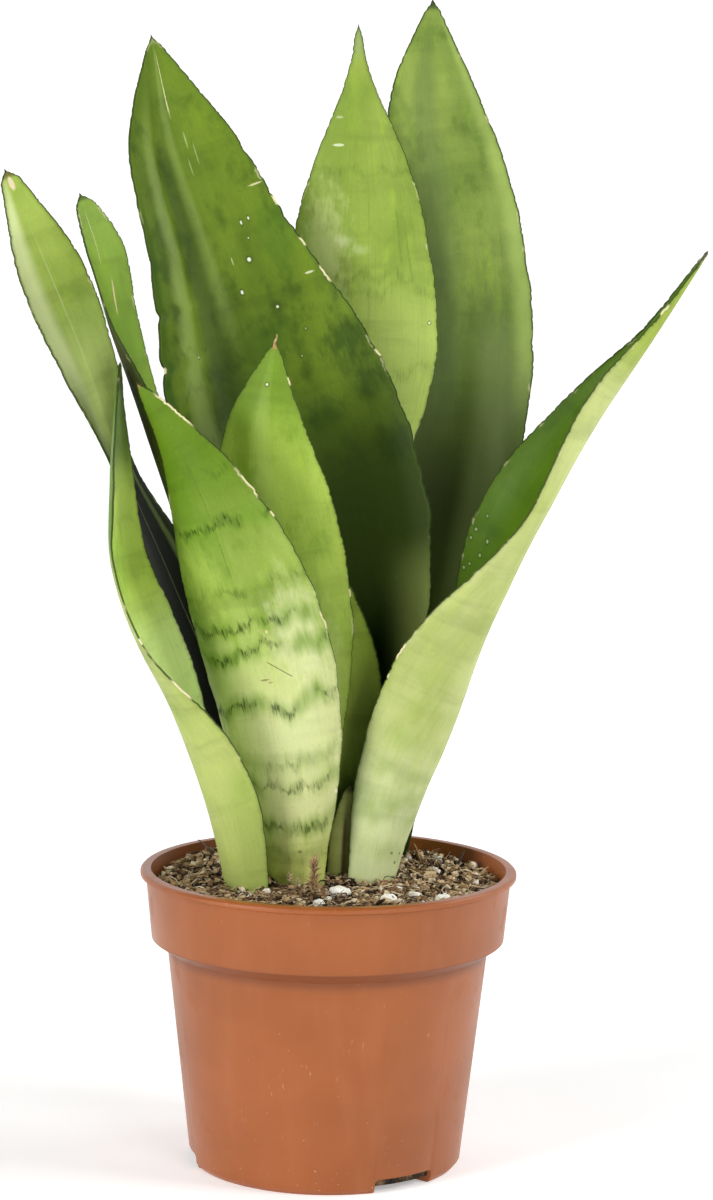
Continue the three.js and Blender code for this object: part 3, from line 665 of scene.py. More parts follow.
def leaf_finish(name, look, seed, length):
    """Satin leaf skin: fibres, broken crossbands, ribs, marks, a thin dark margin and some painted
    light and shade.
    """
    skin = Finish(name, gloss=look["gloss"])
    lie = skin.attribute("lie")
    across, along, _ = skin.split(lie)
    rim, reach, upper = skin.split(skin.attribute("blade"))
    share = across / (rim + across.size() + 0.05)
    lane = share * FIBRE_LANES
    deep = look["band_colour"]

    def web(wide, long, shift, detail):
        """Noise over the blade, with this many waves to a millimetre across and along it."""
        return skin.noise(across * wide, along * long, seed + shift, detail)

    cloud = web(0.05, 0.022, 0, 3).rise(0.36, 0.66)
    blotch = web(0.13, 0.08, 5.5, 5).rise(0.48, 0.7)
    tone = cloud * 0.6 + blotch * (0.6 * look["mottling"])
    skin.base = skin.mix(upper, skin.mix(tone, *look["under"]), skin.mix(tone, *look["upper"]))
    # A zone is the leaf's own paler or darker part, or on some leaves painted shade or painted
    # light.
    for zone_colour, face, starts, full in look["zones"]:
        skin.paint(along.rise(starts, full) * (upper if face else 1 - upper), zone_colour)

    fibre = skin.noise(lane * 1.3, along * 0.05, seed + 1.5, 5)
    grain = skin.noise(lane * 4.5, along * 0.9, seed + 2.5)
    skin.paint(fibre.rise(0.5, 0.75) * (0.3 * look["streaks"]), deep)
    skin.paint(fibre.rise(0.46, 0.26) * look["streaks"], "#C2D38E", "SOFT_LIGHT")
    cross = web(0.02, 0.11, 3.5, 3).rise(0.48, 0.7)
    skin.paint(cross * 0.18, deep)
    scuffed = web(0.2, 0.07, 4.5, 5).rise(0.55, 0.72)
    skin.paint(scuffed * (1.2 * look["bloom"]), "#C9D4AC", "SOFT_LIGHT")
    fleck = web(1.6, 1.0, 6.5, 3)
    skin.paint(fleck.rise(0.6, 0.76) * (0.3 * look["mottling"]), deep)
    skin.paint(fleck.rise(0.42, 0.3) * 0.5, "#CBD7A2", "SOFT_LIGHT")

    smear = web(0.5, 0.2, 7.5, 4)
    for mark in look["patches"]:
        away = skin.away_from(mark, lie) + smear * 1.6 - 0.8
        skin.paint(away.rise(1.2, 0.2) * mark[5], mark[4])
    # Some ribs are painted highlights on ridges, painted shade in grooves and by margins, or
    # painted light.
    for at, half_width, rib_colour, strength, start, end in look["ribs"]:
        off = (share - at + fibre * 0.03 - 0.015).size()
        ramp = 0.2 * (end - start)
        rib = off.rise(half_width, half_width * 0.2) * along.rise(start, start + ramp) * strength
        if half_width < THIN_RIB:
            rib = rib * grain.rise(0.3, 0.6)
        skin.paint(rib * along.rise(end, end - ramp), rib_colour)

    halo_colour, halo = look["halo"]
    hairs = web(2.0, 0.28, 9.5, 3).rise(0.46, 0.62) * 0.65 + 0.35
    spread = web(0.4, 0.1, 11.5, 3).rise(0.35, 0.65) * 2.8 + 0.9
    for number, (at, strength) in enumerate(look["bands"]):
        drift = skin.noise(across * 0.11, number * 5.3, seed, detail=4, output=1)
        sway, thin, fade = skin.split(drift)
        off = (along - at + sway * BAND_SWAY - BAND_SWAY / 2).size()
        soft = off.rise(5.5, 0.5) * fade.rise(0.3, 0.6)
        skin.paint(soft * (strength * halo), halo_colour)
        dark = (off / spread).rise(1.0, 0.1) * thin.rise(0.34, 0.54) * hairs
        skin.paint(dark * (strength * look["strokes"]), deep)

    tip_colour, tip_length = look["tip"]
    from_tip = (1 - reach) * length + grain * 2 - 1
    skin.paint(from_tip.rise(tip_length * 1.4, tip_length * 0.5), tip_colour)
    for mark in look["scars"]:
        away = skin.away_from(mark, lie) + grain * 0.9 - 0.45
        skin.paint(away.rise(1.1, 0.75) * mark[5], mark[4])
    for at, middle, half_length, half_width, lean, ink, strength in look["scratches"]:
        run = along - at
        line = (across - middle - run * lean).size().rise(half_width * 1.3, half_width * 0.5)
        skin.paint(line * run.size().rise(half_length, half_length * 0.8) * strength, ink)

    ragged = rim + grain * 0.4 - 0.2
    skin.paint(ragged.rise(1.3, 0.4) * 0.25, "#4F6C20")
    dry = skin.noise(along * 0.13, seed + 13.5, rim * 0.2, detail=3).rise(0.58, 0.68)
    skin.paint(dry * ragged.rise(1.0, 0.6) * 0.45, "#D3CF9C")
    skin.paint(ragged.rise(0.36, 0.1) * (0.85 - dry * 0.4), "#26330A")
    for at, nick_side, half_length in look["nicks"]:
        near = (along - at + grain - 0.5).size().rise(half_length * 1.2, half_length * 0.7)
        bare = near * (across * nick_side).rise(0, 1) * (rim + grain * 0.8).rise(1.0, 0.6)
        skin.paint(bare * 0.9, "#E0D6A8")

    # Each drop: a dark ring of painted shade round a pale disc that is a painted glint, over a
    # raised bump.
    beads = 0
    for mark in look["drops"]:
        away = skin.away_from(mark, lie)
        bead = away.rise(1.0, 0.5)
        beads = bead + beads
        skin.paint(away.rise(1.9, 1.2) * 0.45, deep)
        skin.paint(bead * (0.85 * mark[5]), mark[4])

    rough = cloud * 0.08 + fibre * 0.12 + 0.42
    relief = fibre * 0.5 + grain * 0.3 + cross * 0.8 + fleck * 0.5 + beads
    return skin.done(rough, relief, depth=0.16, strength=0.6)


def pot_finish():
    """Terracotta-coloured moulded plastic, satin, with scuffs, a little white dust and a painted
    shade under the collar.
    """
    plastic = Finish("pot_plastic", gloss=0.42)
    place = plastic.place()
    cloud = plastic.grain(place, 0.02, 0.03, 3).rise(0.3, 0.7)
    plastic.base = plastic.mix(cloud, "#9A5424", "#8E4C1E")
    flow = plastic.grain(place, 0.12, 0.03)
    plastic.paint(flow.rise(0.45, 0.75) * 0.2, "#A8663F")
    scuffed = plastic.grain(place, 0.09, 0.09, 3).rise(0.56, 0.7)
    hair = plastic.grain(place, 1.4, 0.25, 3).rise(0.62, 0.72)
    plastic.paint(scuffed * hair * 0.4, "#CBA68A")
    height = place[2]
    speck = plastic.grain(place, 0.9, 0.9, 3)
    dust = (speck + height.rise(14, 2) * 0.05).rise(0.73, 0.77)
    plastic.paint(dust * 0.5, "#DCC7B2")
    # Painted shade: a dark band on the body just under the collar and on the collar's underside.
    painted_collar_shade = height.rise(66, 69.3) * height.rise(73.5, 73.0)
    plastic.paint(painted_collar_shade * 0.5, "#5E2E17")
    rough = cloud * 0.06 + scuffed * 0.1 + dust * 0.2 + 0.34
    fine = plastic.grain(place, 2.2, 2.2)
    return plastic.done(rough, fine * 0.4 + flow * 0.6, depth=0.08, strength=0.5)


def soil_finish():
    """Brown peat and coir; each crumb has its own tone."""
    peat = Finish("potting_mix", gloss=0.25)
    place = peat.place()
    tone = peat.attribute("tone", output=2)
    speckle = peat.grain(place, 0.9, 0.9, 4)
    peat.base = peat.node("ShaderNodeValToRGB", {}, {0: tone + (speckle - 0.5) * 0.5})
    stops = peat.base.socket.node.color_ramp.elements
    for number, (share, colour) in enumerate(SOIL_TONES):
        stop = stops[number] if number < 2 else stops.new(share)
        stop.position = share
        stop.color = tint(colour)
    fine = peat.grain(place, 3, 3, 3)
    return peat.done(fine * 0.15 + 0.8, fine + speckle, depth=0.3, strength=0.8)


def perlite_finish():
    """White, pitted volcanic glass with a trace of soil in its pits."""
    grit = Finish("perlite", gloss=0.3)
    place = grit.place()
    pits = grit.grain(place, 1.3, 1.3, 4)
    grit.base = grit.mix(pits.rise(0.37, 0.28), "#FBF8F0", "#A8977A")
    stain = grit.grain(place, 0.4, 0.4, shift=4)
    grit.paint(stain.rise(0.55, 0.68) * 0.3, "#D9CFA4")
    return grit.done(pits * 0.2 + 0.7, pits, depth=0.7, strength=0.9)


def stalk_finish(name, pale, deep):
    """Dry fibrous stalk."""
    straw = Finish(name, gloss=0.3)
    grain = straw.grain(straw.place(), 1.4, 0.7, 3)
    straw.base = straw.mix(grain.rise(0.35, 0.65), pale, deep)
    return straw.done(grain * 0.2 + 0.65, grain, depth=0.25, strength=0.8)


def mode(name):
    bpy.ops.object.mode_set(mode=name)


def pick(piece):
    """Leaves only this piece selected and active."""
    bpy.ops.object.select_all(action="DESELECT")
    piece.select_set(True)
    bpy.context.view_layer.objects.active = piece


def place_piece(piece, material, slot, *nodes):
    """Gives a finished piece its material and its place in the frame."""
    piece.data.materials.clear()
    piece.data.materials.append(material)
    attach(piece, "root")
    if nodes:
        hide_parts(*nodes)


def make_mesh(name, points, faces, edges=()):
    """A smooth-shaded object from points in millimetres."""
    mesh = bpy.data.meshes.new(name)
    mesh.from_pydata((np.asarray(points, float) * MM).tolist(), edges, faces)
    mesh.shade_smooth()
    return add_object(name, mesh)


def store(piece, name, values, kind="FLOAT", field="value"):
    """Keeps a value at each point of a piece, for its material to read."""
    layer = piece.data.attributes.new(name, kind, "POINT")
    layer.data.foreach_set(field, values)


def apply_modifier(piece, kind, **settings):
    """Adds a modifier and applies it at once."""
    pick(piece)
    modifier = piece.modifiers.new(kind, kind)
    for name, value in settings.items():
        setattr(modifier, name, value)
    bpy.ops.object.modifier_apply(modifier=modifier.name)


def outwards(piece):
    """Turns all faces outwards."""
    pick(piece)
    mode("EDIT")
    bpy.ops.mesh.select_all(action="SELECT")
    bpy.ops.mesh.normals_make_consistent(inside=False)
    mode("OBJECT")


def follow(rows, share):
    """The smooth curve through all rows, and its heading, at each share of the way."""
    rows = np.array(rows, float)
    rows = np.vstack([2 * rows[0] - rows[1], rows, 2 * rows[-1] - rows[-2]])
    place = share * (len(rows) - 3)
    start = np.minimum(place.astype(int), len(rows) - 4)
    w = (place - start)[:, None]
    before, here, there, after = (rows[start + k] for k in range(4))
    leave = (there - before) / 2
    arrive = (after - here) / 2
    cubic = 2 * here - 2 * there + leave + arrive
    square = 3 * there - 3 * here - 2 * leave - arrive
    curve = cubic * w**3 + square * w**2 + leave * w + here
    return curve, 3 * cubic * w**2 + 2 * square * w + leave


def ripple(run, wave, seed):
    """An uneven wave between about -1 and 1 along a length."""
    turns = 2 * np.pi * run / wave
    long = 0.55 * np.sin(turns + seed)
    middling = 0.3 * np.sin(1.93 * turns + 2.1 * seed)
    return long + middling + 0.15 * np.sin(3.71 * turns + 3.3 * seed)


def unit(vectors):
    return vectors / np.linalg.norm(vectors, axis=-1, keepdims=True)


def leaf_piece(name, seed):
    """One leaf: an upper and an under face joined round the margin, closed at both ends."""
    rows = LEAF_ROWS[name]
    look = {**LEAF_LOOK, **LEAF_LOOKS[name]}
    even = np.linspace(0, 1, MIDRIB_SAMPLES)
    middle = follow(rows, even)[0][:, :3]
    run = np.concatenate([[0], np.cumsum(np.linalg.norm(np.diff(middle, axis=0), axis=1))])
    length = run[-1]
    ring_count = int(length / BLADE_STEP)
    reach = 1 - (1 - np.linspace(0, 1, ring_count + 1)) ** TIP_CROWDING
    along = reach * length
    values, heading = follow(rows, np.interp(along, run, even))

    heading = unit(heading[:, :3])
    turn = np.radians(values[:, 4])
    facing = np.stack([np.sin(turn), -np.cos(turn), 0 * turn], -1)
    up = unit(facing - heading * (facing * heading).sum(-1, keepdims=True))
    side = np.cross(heading, up)

    u = np.sin(np.linspace(-np.pi / 2, np.pi / 2, BLADE_STRIPS + 1))[None, :]
    swing = WIDTH_SWING * ripple(along, WIDTH_WAVE, seed + 2)[:, None]
    half_width = values[:, 3:4] / 2 * (1 + swing)
    half_width *= np.clip((length - along) / TIP_ROUND, 0.02, 1)[:, None] ** 0.5
    frayed = np.random.RandomState(seed).rand(len(along), 2) ** 3 * FRAY
    inset = np.where(u < 0, frayed[:, :1], frayed[:, 1:])
    for notch_along, notch_side, notch_length, depth in look["notches"]:
        bite = depth * np.exp(-(((along - notch_along) / notch_length) ** 2))[:, None]
        inset = inset + np.where(u * notch_side > 0, bite, 0)
    inset = np.minimum(inset, half_width * 0.4)
    across = u * (half_width - inset * np.abs(u) ** 8)

    radius = half_width / np.radians(np.where(u < 0, values[:, 5:6], values[:, 6:7]))
    angle = across / radius
    thickness = (ROOT_THICKNESS + (TIP_THICKNESS - ROOT_THICKNESS) * reach**0.7)[:, None]
    half = np.maximum(thickness * np.sqrt(1 - 0.96 * u**2), MARGIN_THICKNESS) / 2
    half = np.minimum(half, values[:, 3:4] * 0.35)
    left, right = (ripple(along, wave, seed + k)[:, None] for k, wave in enumerate(MARGIN_WAVES))
    lift = np.where(u < 0, left, right) * np.abs(u) ** 4 * look["waves"] * half_width / 40
    for middle_u, height, spread, start, end in look["folds"]:
        there = np.clip((along - start) / FOLD_RAMP, 0, 1)
        there = there * np.clip((end - along) / FOLD_RAMP, 0, 1)
        lift = lift + height * there[:, None] * np.exp(-(((u - middle_u) / spread) ** 2))

    def lay(shift, spread=0.0):
        """Points of the blade, shifted along its own normal and spread past its margin."""
        turned_angle = (across + np.sign(u) * spread) / radius
        aside = radius * np.sin(turned_angle) - (lift + shift) * np.sin(angle)
        raised = radius * (1 - np.cos(turned_angle)) + (lift + shift) * np.cos(angle)
        aside, raised = side[:, None] * aside[..., None], up[:, None] * raised[..., None]
        return values[:, None, :3] + aside + raised

    def all_round(top, edge, under):
        """Values over the upper face, the right margin, the under face and the left margin."""
        return np.concatenate([top, edge[:, -1:], under[:, ::-1], edge[:, :1]], axis=1)

    rings = all_round(lay(half), lay(0 * half, MARGIN_ROUND), lay(-half))
    count = rings.shape[1]
    rim = half_width - inset - np.abs(across)
    lie_across = all_round(across, across, across)
    rims = all_round(rim, 0 * rim, rim)
    uppers = all_round(0 * rim + 1, 0 * rim + 0.5, 0 * rim)

    foot = rings[0].mean(0)
    tip = rings[-1].mean(0) + heading[-1] * TIP_THICKNESS
    points = np.vstack([rings.reshape(-1, 3), foot, tip])
    last = ring_count * count
    faces = []
    for i in range(count):
        j = (i + 1) % count
        faces.append((j, i, len(points) - 2))
        faces.append((last + i, last + j, len(points) - 1))
        faces += [(k + i, k + j, k + count + j, k + count + i) for k in range(0, last, count)]
    piece = make_mesh(name, points, faces)
    outwards(piece)

    lie = np.stack([lie_across, along[:, None] + 0 * lie_across, 0 * lie_across], -1)
    blade = np.stack([rims, reach[:, None] + 0 * rims, uppers], -1)
    lie = np.vstack([lie.reshape(-1, 3), (0, 0, 0), (0, length, 0)])
    blade = np.vstack([blade.reshape(-1, 3), (5, 0, 0.5), (0, 1, 0.5)])
    store(piece, "lie", lie.ravel(), "FLOAT_VECTOR", "vector")
    store(piece, "blade", blade.ravel(), "FLOAT_VECTOR", "vector")
    slots = {sub["node"]: sub["material_slot"] for sub in frame["record"]["subparts"]}
    place_piece(piece, leaf_finish(name, look, seed, length), slots[name], name)


def turned(name, outline):
    """Spins an outline of radii and heights about the pot's axis."""
    points = [(radius, 0, height) for radius, height in outline]
    piece = make_mesh(name, points, [], [(i, i + 1) for i in range(len(points) - 1)])
    pick(piece)
    mode("EDIT")
    bpy.ops.mesh.select_all(action="SELECT")
    bpy.ops.mesh.spin(steps=POT_SIDES, angle=2 * np.pi, center=(0, 0, 0), axis=(0, 0, 1))
    bpy.ops.mesh.select_all(action="SELECT")
    bpy.ops.mesh.remove_doubles(threshold=1e-6)
    mode("OBJECT")
    outwards(piece)
    return piece


def ring_slice(name, turn, arc, inner, outer, bottom, top):
    """A slab shaped as a slice of a ring, centred on a turn from the front to the right."""
    middle = np.radians(turn - 90)
    half = np.radians(arc / 2)
    angles = np.linspace(middle - half, middle + half, ARC_POINTS)
    outline = [(outer * np.cos(a), outer * np.sin(a)) for a in angles]
    outline += [(inner * np.cos(a), inner * np.sin(a)) for a in angles[::-1]]
    count = len(outline)
    points = [(x, y, z) for z in (bottom, top) for x, y in outline]
    faces = [tuple(range(count))[::-1], tuple(range(count, 2 * count))]
    faces += [(i, (i + 1) % count, count + (i + 1) % count, count + i) for i in range(count)]
    slab = make_mesh(name, points, faces)
    slab.data.shade_flat()
    outwards(slab)
    return slab


def round_roof(slab, size):
    """Rounds the two upper edges at the ends of a slice of a ring."""
    count = 2 * ARC_POINTS
    ends = ({count + ARC_POINTS - 1, count + ARC_POINTS}, {count, 2 * count - 1})
    pick(slab)
    mode("EDIT")
    bpy.ops.mesh.select_all(action="DESELECT")
    mode("OBJECT")
    for edge in slab.data.edges:
        edge.select = set(edge.vertices) in ends
    for vertex in slab.data.vertices:
        vertex.select = any(vertex.index in end for end in ends)
    mode("EDIT")
    bpy.ops.mesh.bevel(offset=size * MM, segments=4, affect="EDGES")
    mode("OBJECT")


def join_shape(piece, other, operation):
    """Adds another shape to a piece or cuts it out, and removes the other shape."""
    apply_modifier(piece, "BOOLEAN", object=other, operation=operation, solver="EXACT")
    bpy.data.objects.remove(other)


def pot_piece():
    """The nursery pot: lip, collar, tapered body and three drainage tunnels."""
    lip_foot = POT_HEIGHT - LIP_HEIGHT
    outline = (
        (0, 0), (BODY_FOOT_RADIUS - FOOT_ROUND, 0), (BODY_FOOT_RADIUS - FOOT_DRAFT, FOOT_ROUND),
        (BODY_TOP_RADIUS, BODY_TOP), (COLLAR_FOOT_RADIUS, COLLAR_FOOT),
        (COLLAR_TOP_RADIUS, lip_foot), (RIM_RADIUS, lip_foot + LIP_SLOPE),
        (RIM_RADIUS, POT_HEIGHT - LIP_ROUND), (RIM_RADIUS - LIP_ROUND, POT_HEIGHT),
        (COLLAR_TOP_RADIUS - WALL, POT_HEIGHT), (COLLAR_FOOT_RADIUS - WALL, COLLAR_FOOT + 1),
        (BODY_TOP_RADIUS - WALL, BODY_TOP + 1), (BODY_FOOT_RADIUS - WALL, FLOOR), (0, FLOOR),
    )
    pot = turned("pot_moulding", outline)
    for turn in TUNNEL_TURNS:
        housing = (HOUSING_ARC, TUNNEL_INNER - WALL, HOUSING_OUTER, HOUSING_FOOT, HOUSING_HEIGHT)
        join_shape(pot, ring_slice("housing", turn, *housing), "UNION")
    for turn in TUNNEL_TURNS:
        hollow = (TUNNEL_ARC, TUNNEL_INNER, TUNNEL_OUTER, -1, TUNNEL_HEIGHT)
        tunnel = ring_slice("tunnel", turn, *hollow)
        round_roof(tunnel, TUNNEL_CORNER)
        join_shape(pot, tunnel, "DIFFERENCE")
        angle = np.radians(turn - 90)
        place = Vector((DRAIN_PLACE * np.cos(angle), DRAIN_PLACE * np.sin(angle), TUNNEL_HEIGHT))
        bpy.ops.mesh.primitive_cylinder_add(
            vertices=32, radius=DRAIN_RADIUS * MM, depth=10 * MM, location=place * MM
        )
        join_shape(pot, bpy.context.object, "DIFFERENCE")
    bevel = {"segments": 2, "limit_method": "ANGLE", "angle_limit": np.radians(25)}
    apply_modifier(pot, "BEVEL", width=EDGE_ROUND * MM, **bevel)
    pick(pot)
    bpy.ops.object.shade_smooth_by_angle(angle=np.radians(30))
    place_piece(pot, pot_finish(), "pot_plastic", "pot")


def soil_height(x, y):
    """Height of the soil's surface, as in the frame."""
    height = SOIL_LEVEL
    for heap_x, heap_y, rise, spread in SOIL_HEAPS:
        height = height + rise * np.exp(-((np.hypot(x - heap_x, y - heap_y) / spread) ** 2))
    broad = 0.5 * np.sin(0.31 * x + 1) * np.cos(0.27 * y)
    return height + broad + 0.3 * np.sin(0.7 * x - 0.5 * y)


def soil_piece(material):
    """The body of potting mix, with an uneven top."""
    gap = WALL + SOIL_GAP
    outline = [
        (0, FLOOR + SOIL_GAP), (BODY_FOOT_RADIUS - gap, FLOOR + SOIL_GAP),
        (BODY_TOP_RADIUS - gap, BODY_TOP + 1 + SOIL_GAP),
        (COLLAR_FOOT_RADIUS - gap, COLLAR_FOOT + 1 + SOIL_GAP), (SOIL_RADIUS - 0.5, SOIL_LEVEL - 6),
    ]
    outline += [(SOIL_RADIUS * (1 - i / SOIL_RINGS), SOIL_LEVEL) for i in range(SOIL_RINGS + 1)]
    soil = turned("soil_bed", outline)
    for vertex in soil.data.vertices:
        x, y, z = vertex.co / MM
        if z > SOIL_LEVEL - 1:
            lump = noise.noise(Vector((x, y, 0)) * 0.16)
            lump += 0.6 * noise.noise(Vector((x, y, 7)) * 0.45)
            vertex.co.z = (soil_height(x, y) + 1.1 * lump - 0.4) * MM
    store(soil, "tone", [0.15 + 0.3 * noise.noise(v.co / MM * 0.3) for v in soil.data.vertices])
    soil.data.shade_smooth()
    place_piece(soil, material, "potting_mix", "soil")


def take_shape():
    """Points and faces of the object just made, which is removed."""
    piece = bpy.context.object
    points = np.array([v.co for v in piece.data.vertices])
    faces = [tuple(p.vertices) for p in piece.data.polygons]
    bpy.data.objects.remove(piece)
    return points, faces


def crumb_shape(seed, subdivisions):
    """A lumpy crumb about 2 units across."""
    bpy.ops.mesh.primitive_ico_sphere_add(subdivisions=subdivisions, radius=1)
    points, faces = take_shape()
    for i, point in enumerate(points):
        lump = noise.noise(Vector(point) * 1.3 + Vector((9 * seed, 0, 3)))
        points[i] = point * (1 + 0.7 * lump) * (1, 0.8, 0.7)
    return points, faces


def flake_shape(seed):
    """A splinter of bark about 2 units long."""
    bpy.ops.mesh.primitive_cube_add(size=2)
    points, faces = take_shape()
    for i, point in enumerate(points):
        aside = [Vector(point) * 1.3 + Vector((5.3 * seed, 7.7 * k, 3.1)) for k in range(3)]
        skew = np.array([noise.noise(place) for place in aside])
        points[i] = (point + 0.6 * skew) * (1, 0.38, 0.14)
    return points, faces


def fibre_shape(bend):
    """A thin bent fibre 2 units long and 1 unit thick, closed at both ends."""
    rings, sides = FIBRE_RINGS, FIBRE_SIDES
    t = np.linspace(-1, 1, rings)
    spine = np.stack([t, bend * (1 - t**2) + 0.2 * np.sin(4 * t), 0.3 * bend * np.sin(3 * t)], -1)
    points = []
    for centre, width in zip(spine, 1 - 0.6 * np.abs(t) ** 3):
        for k in range(sides):
            angle = 2 * np.pi * k / sides
            points.append((centre, (0, width * np.cos(angle) / 2, width * np.sin(angle) / 2)))
    faces = [tuple(range(sides))[::-1], tuple(range((rings - 1) * sides, rings * sides))]
    for i in range(0, (rings - 1) * sides, sides):
        for k in range(sides):
            n = (k + 1) % sides
            faces.append((i + k, i + n, i + sides + n, i + sides + k))
    return points, faces


def turn_matrix(draw, tumble=1.0):
    """A random turn; a small tumble keeps the piece nearly flat."""
    spin = Matrix.Rotation(draw.rand() * 2 * np.pi, 3, "Z")
    pitch = Matrix.Rotation((draw.rand() - 0.5) * np.pi * tumble, 3, "X")
    yaw = Matrix.Rotation((draw.rand() - 0.5) * np.pi * tumble, 3, "Y")
    return np.array(spin @ pitch @ yaw)


def strewn_sizes(draw, count, least, more, power):
    """Random sizes, with a power that makes large ones rare."""
    for _ in range(count):
        yield least + more * draw.rand() ** power


def strewn_place(draw, reach):
    """A random place on the soil."""
    angle = draw.rand() * 2 * np.pi
    radius = reach * np.sqrt(draw.rand())
    return radius * np.cos(angle), radius * np.sin(angle)


def gather(name, bits):
    """One object from many small shapes: points, faces and the tone of each."""
    points, faces, tones = [], [], []
    for bit_points, bit_faces, tone in bits:
        faces.extend(tuple(len(points) + k for k in face) for face in bit_faces)
        points.extend(bit_points)
        tones.extend([tone] * len(bit_points))
    piece = make_mesh(name, points, faces)
    store(piece, "tone", tones)
    return piece


def crumbs_piece(material):
    """Crumbs, bark flakes and fibres lying on the soil."""
    draw = np.random.RandomState(STREW_SEED)
    coarse = [crumb_shape(k, 2) for k in range(CRUMB_SHAPES)]
    fine = [crumb_shape(k + CRUMB_SHAPES, 1) for k in range(CRUMB_SHAPES)]
    flakes = [flake_shape(k) for k in range(CRUMB_SHAPES)]
    fibres = [fibre_shape(bend) for bend in FIBRE_BENDS]
    bits = []
    for size in strewn_sizes(draw, *CRUMBS):
        x, y = strewn_place(draw, SOIL_RADIUS - size)
        points, faces = (coarse if size > COARSE_FROM else fine)[draw.randint(CRUMB_SHAPES)]
        place = (x, y, soil_height(x, y) + 0.25 * size + 0.7 * draw.rand() - 0.2)
        clump = 0.35 * noise.noise(Vector((x, y, 5)) * 0.16)
        # The crumbs grow paler towards the pot's left and right sides: painted light.
        tone = 0.72 * draw.rand() + clump + 0.16 * min(abs(x) / 30, 1)
        if draw.rand() < WHITE_CRUMBS:
            tone = 0.98
        bits.append((points @ turn_matrix(draw).T * size + place, faces, tone))
    for size in strewn_sizes(draw, *FLAKES):
        x, y = strewn_place(draw, SOIL_RADIUS - size)
        points, faces = flakes[draw.randint(CRUMB_SHAPES)]
        place = (x, y, soil_height(x, y) + 0.9 + 0.8 * draw.rand())
        tone = 0.1 + 0.7 * draw.rand()
        bits.append((points @ turn_matrix(draw, tumble=0.5).T * size + place, faces, tone))
    for length in strewn_sizes(draw, *FIBRES):
        width = 0.2 + 0.3 * draw.rand()
        x, y = strewn_place(draw, SOIL_RADIUS - length)
        spine, faces = fibres[draw.randint(len(fibres))]
        points = np.array([np.array(c) * length + np.array(r) * width for c, r in spine])
        place = (x, y, soil_height(x, y) + 0.8 + 0.9 * draw.rand())
        tone = 0.1 + 0.75 * draw.rand()
        bits.append((points @ turn_matrix(draw, tumble=0.3).T + place, faces, tone))
    crumbs = gather("soil_crumbs", bits)
    outwards(crumbs)
    place_piece(crumbs, material, "potting_mix")


def perlite_pieces():
    """The larger white grains, each lumpy in its own way."""
    material = perlite_finish()
    texture = bpy.data.textures.new("grain_lumps", "CLOUDS")
    texture.noise_scale = 1.6 * MM
    for number, (x, y, size, turn) in enumerate(PERLITE, 1):
        bpy.ops.mesh.primitive_ico_sphere_add(
            subdivisions=4,
            radius=size * MM,
            location=Vector((x, y, soil_height(x, y) + size * 0.25)) * MM,
            rotation=(0, 0, np.radians(turn)),
            scale=(1.05, 0.85, 0.66),
        )
        grain = bpy.context.object
        grain.name = f"grain_{number}"
        lumps = {"texture_coords": "GLOBAL", "strength": size * 0.5 * MM}
        apply_modifier(grain, "DISPLACE", texture=texture, **lumps)
        bpy.ops.object.transform_apply(location=True, rotation=True, scale=True)
        bpy.ops.object.shade_smooth_by_angle(angle=np.radians(35))
        place_piece(grain, material, "perlite", f"perlite_{number}")


def stalk(name, path, radii):
    """A closed tube along a path of points in millimetres, thicker or thinner at each."""
    curve = bpy.data.curves.new(name, "CURVE")
    curve.dimensions = "3D"
    curve.bevel_depth = MM
    curve.bevel_resolution = 2
    curve.use_fill_caps = True
    curve.resolution_u = 5
    spline = curve.splines.new("NURBS")
    spline.points.add(len(path) - 1)
    spline.use_endpoint_u = True
    spline.order_u = 3
    for point, place, radius in zip(spline.points, path, radii):
        point.co = (*(Vector(place) * MM), 1)
        point.radius = radius
    pick(add_object(name, curve))
    bpy.ops.object.convert(target="MESH")
    piece = bpy.context.object
    piece.data.shade_smooth()
    return piece


def thread_piece():
    """The dried, curled thread that one leaf's tip ends in."""
    thread = stalk("tip_thread", HEART_THREAD, THREAD_RADII)
    place_piece(thread, stalk_finish("tip_thread", "#CDB184", "#97774C"), "leaf_pale")


def twig_pieces():
    """Three bits of stalk stuck in the mix."""
    for name, (tones, radii, points) in TWIGS.items():
        path = [(x, y, soil_height(x, y) + above) for x, y, above in points]
        twig = stalk(f"{name}_stalk", path, [TWIG_RADIUS * radius for radius in radii])
        place_piece(twig, stalk_finish(name, *tones), "dry_stalk", name)


def tuft(draw, foot, height, scales, length, tone):
    """Slender pointed scales all round an upright stem."""
    bpy.ops.mesh.primitive_cone_add(vertices=5, radius1=0.13, radius2=0.01, depth=1)
    points, faces = take_shape()
    points = points + (0, 0, 0.5)
    bits = []
    for k in range(scales):
        share = k / scales
        out = Matrix.Rotation(np.radians(70 - 45 * share + 12 * draw.randn()), 3, "Y")
        spin = Matrix.Rotation(2.4 * k + 0.4 * draw.randn(), 3, "Z")
        place = np.array(foot) + (0, 0, height * share)
        grown = points @ np.array(spin @ out).T * (length * (0.7 + 0.5 * draw.rand()))
        bits.append((grown + place, faces, tone + 0.2 * draw.rand()))
    return bits


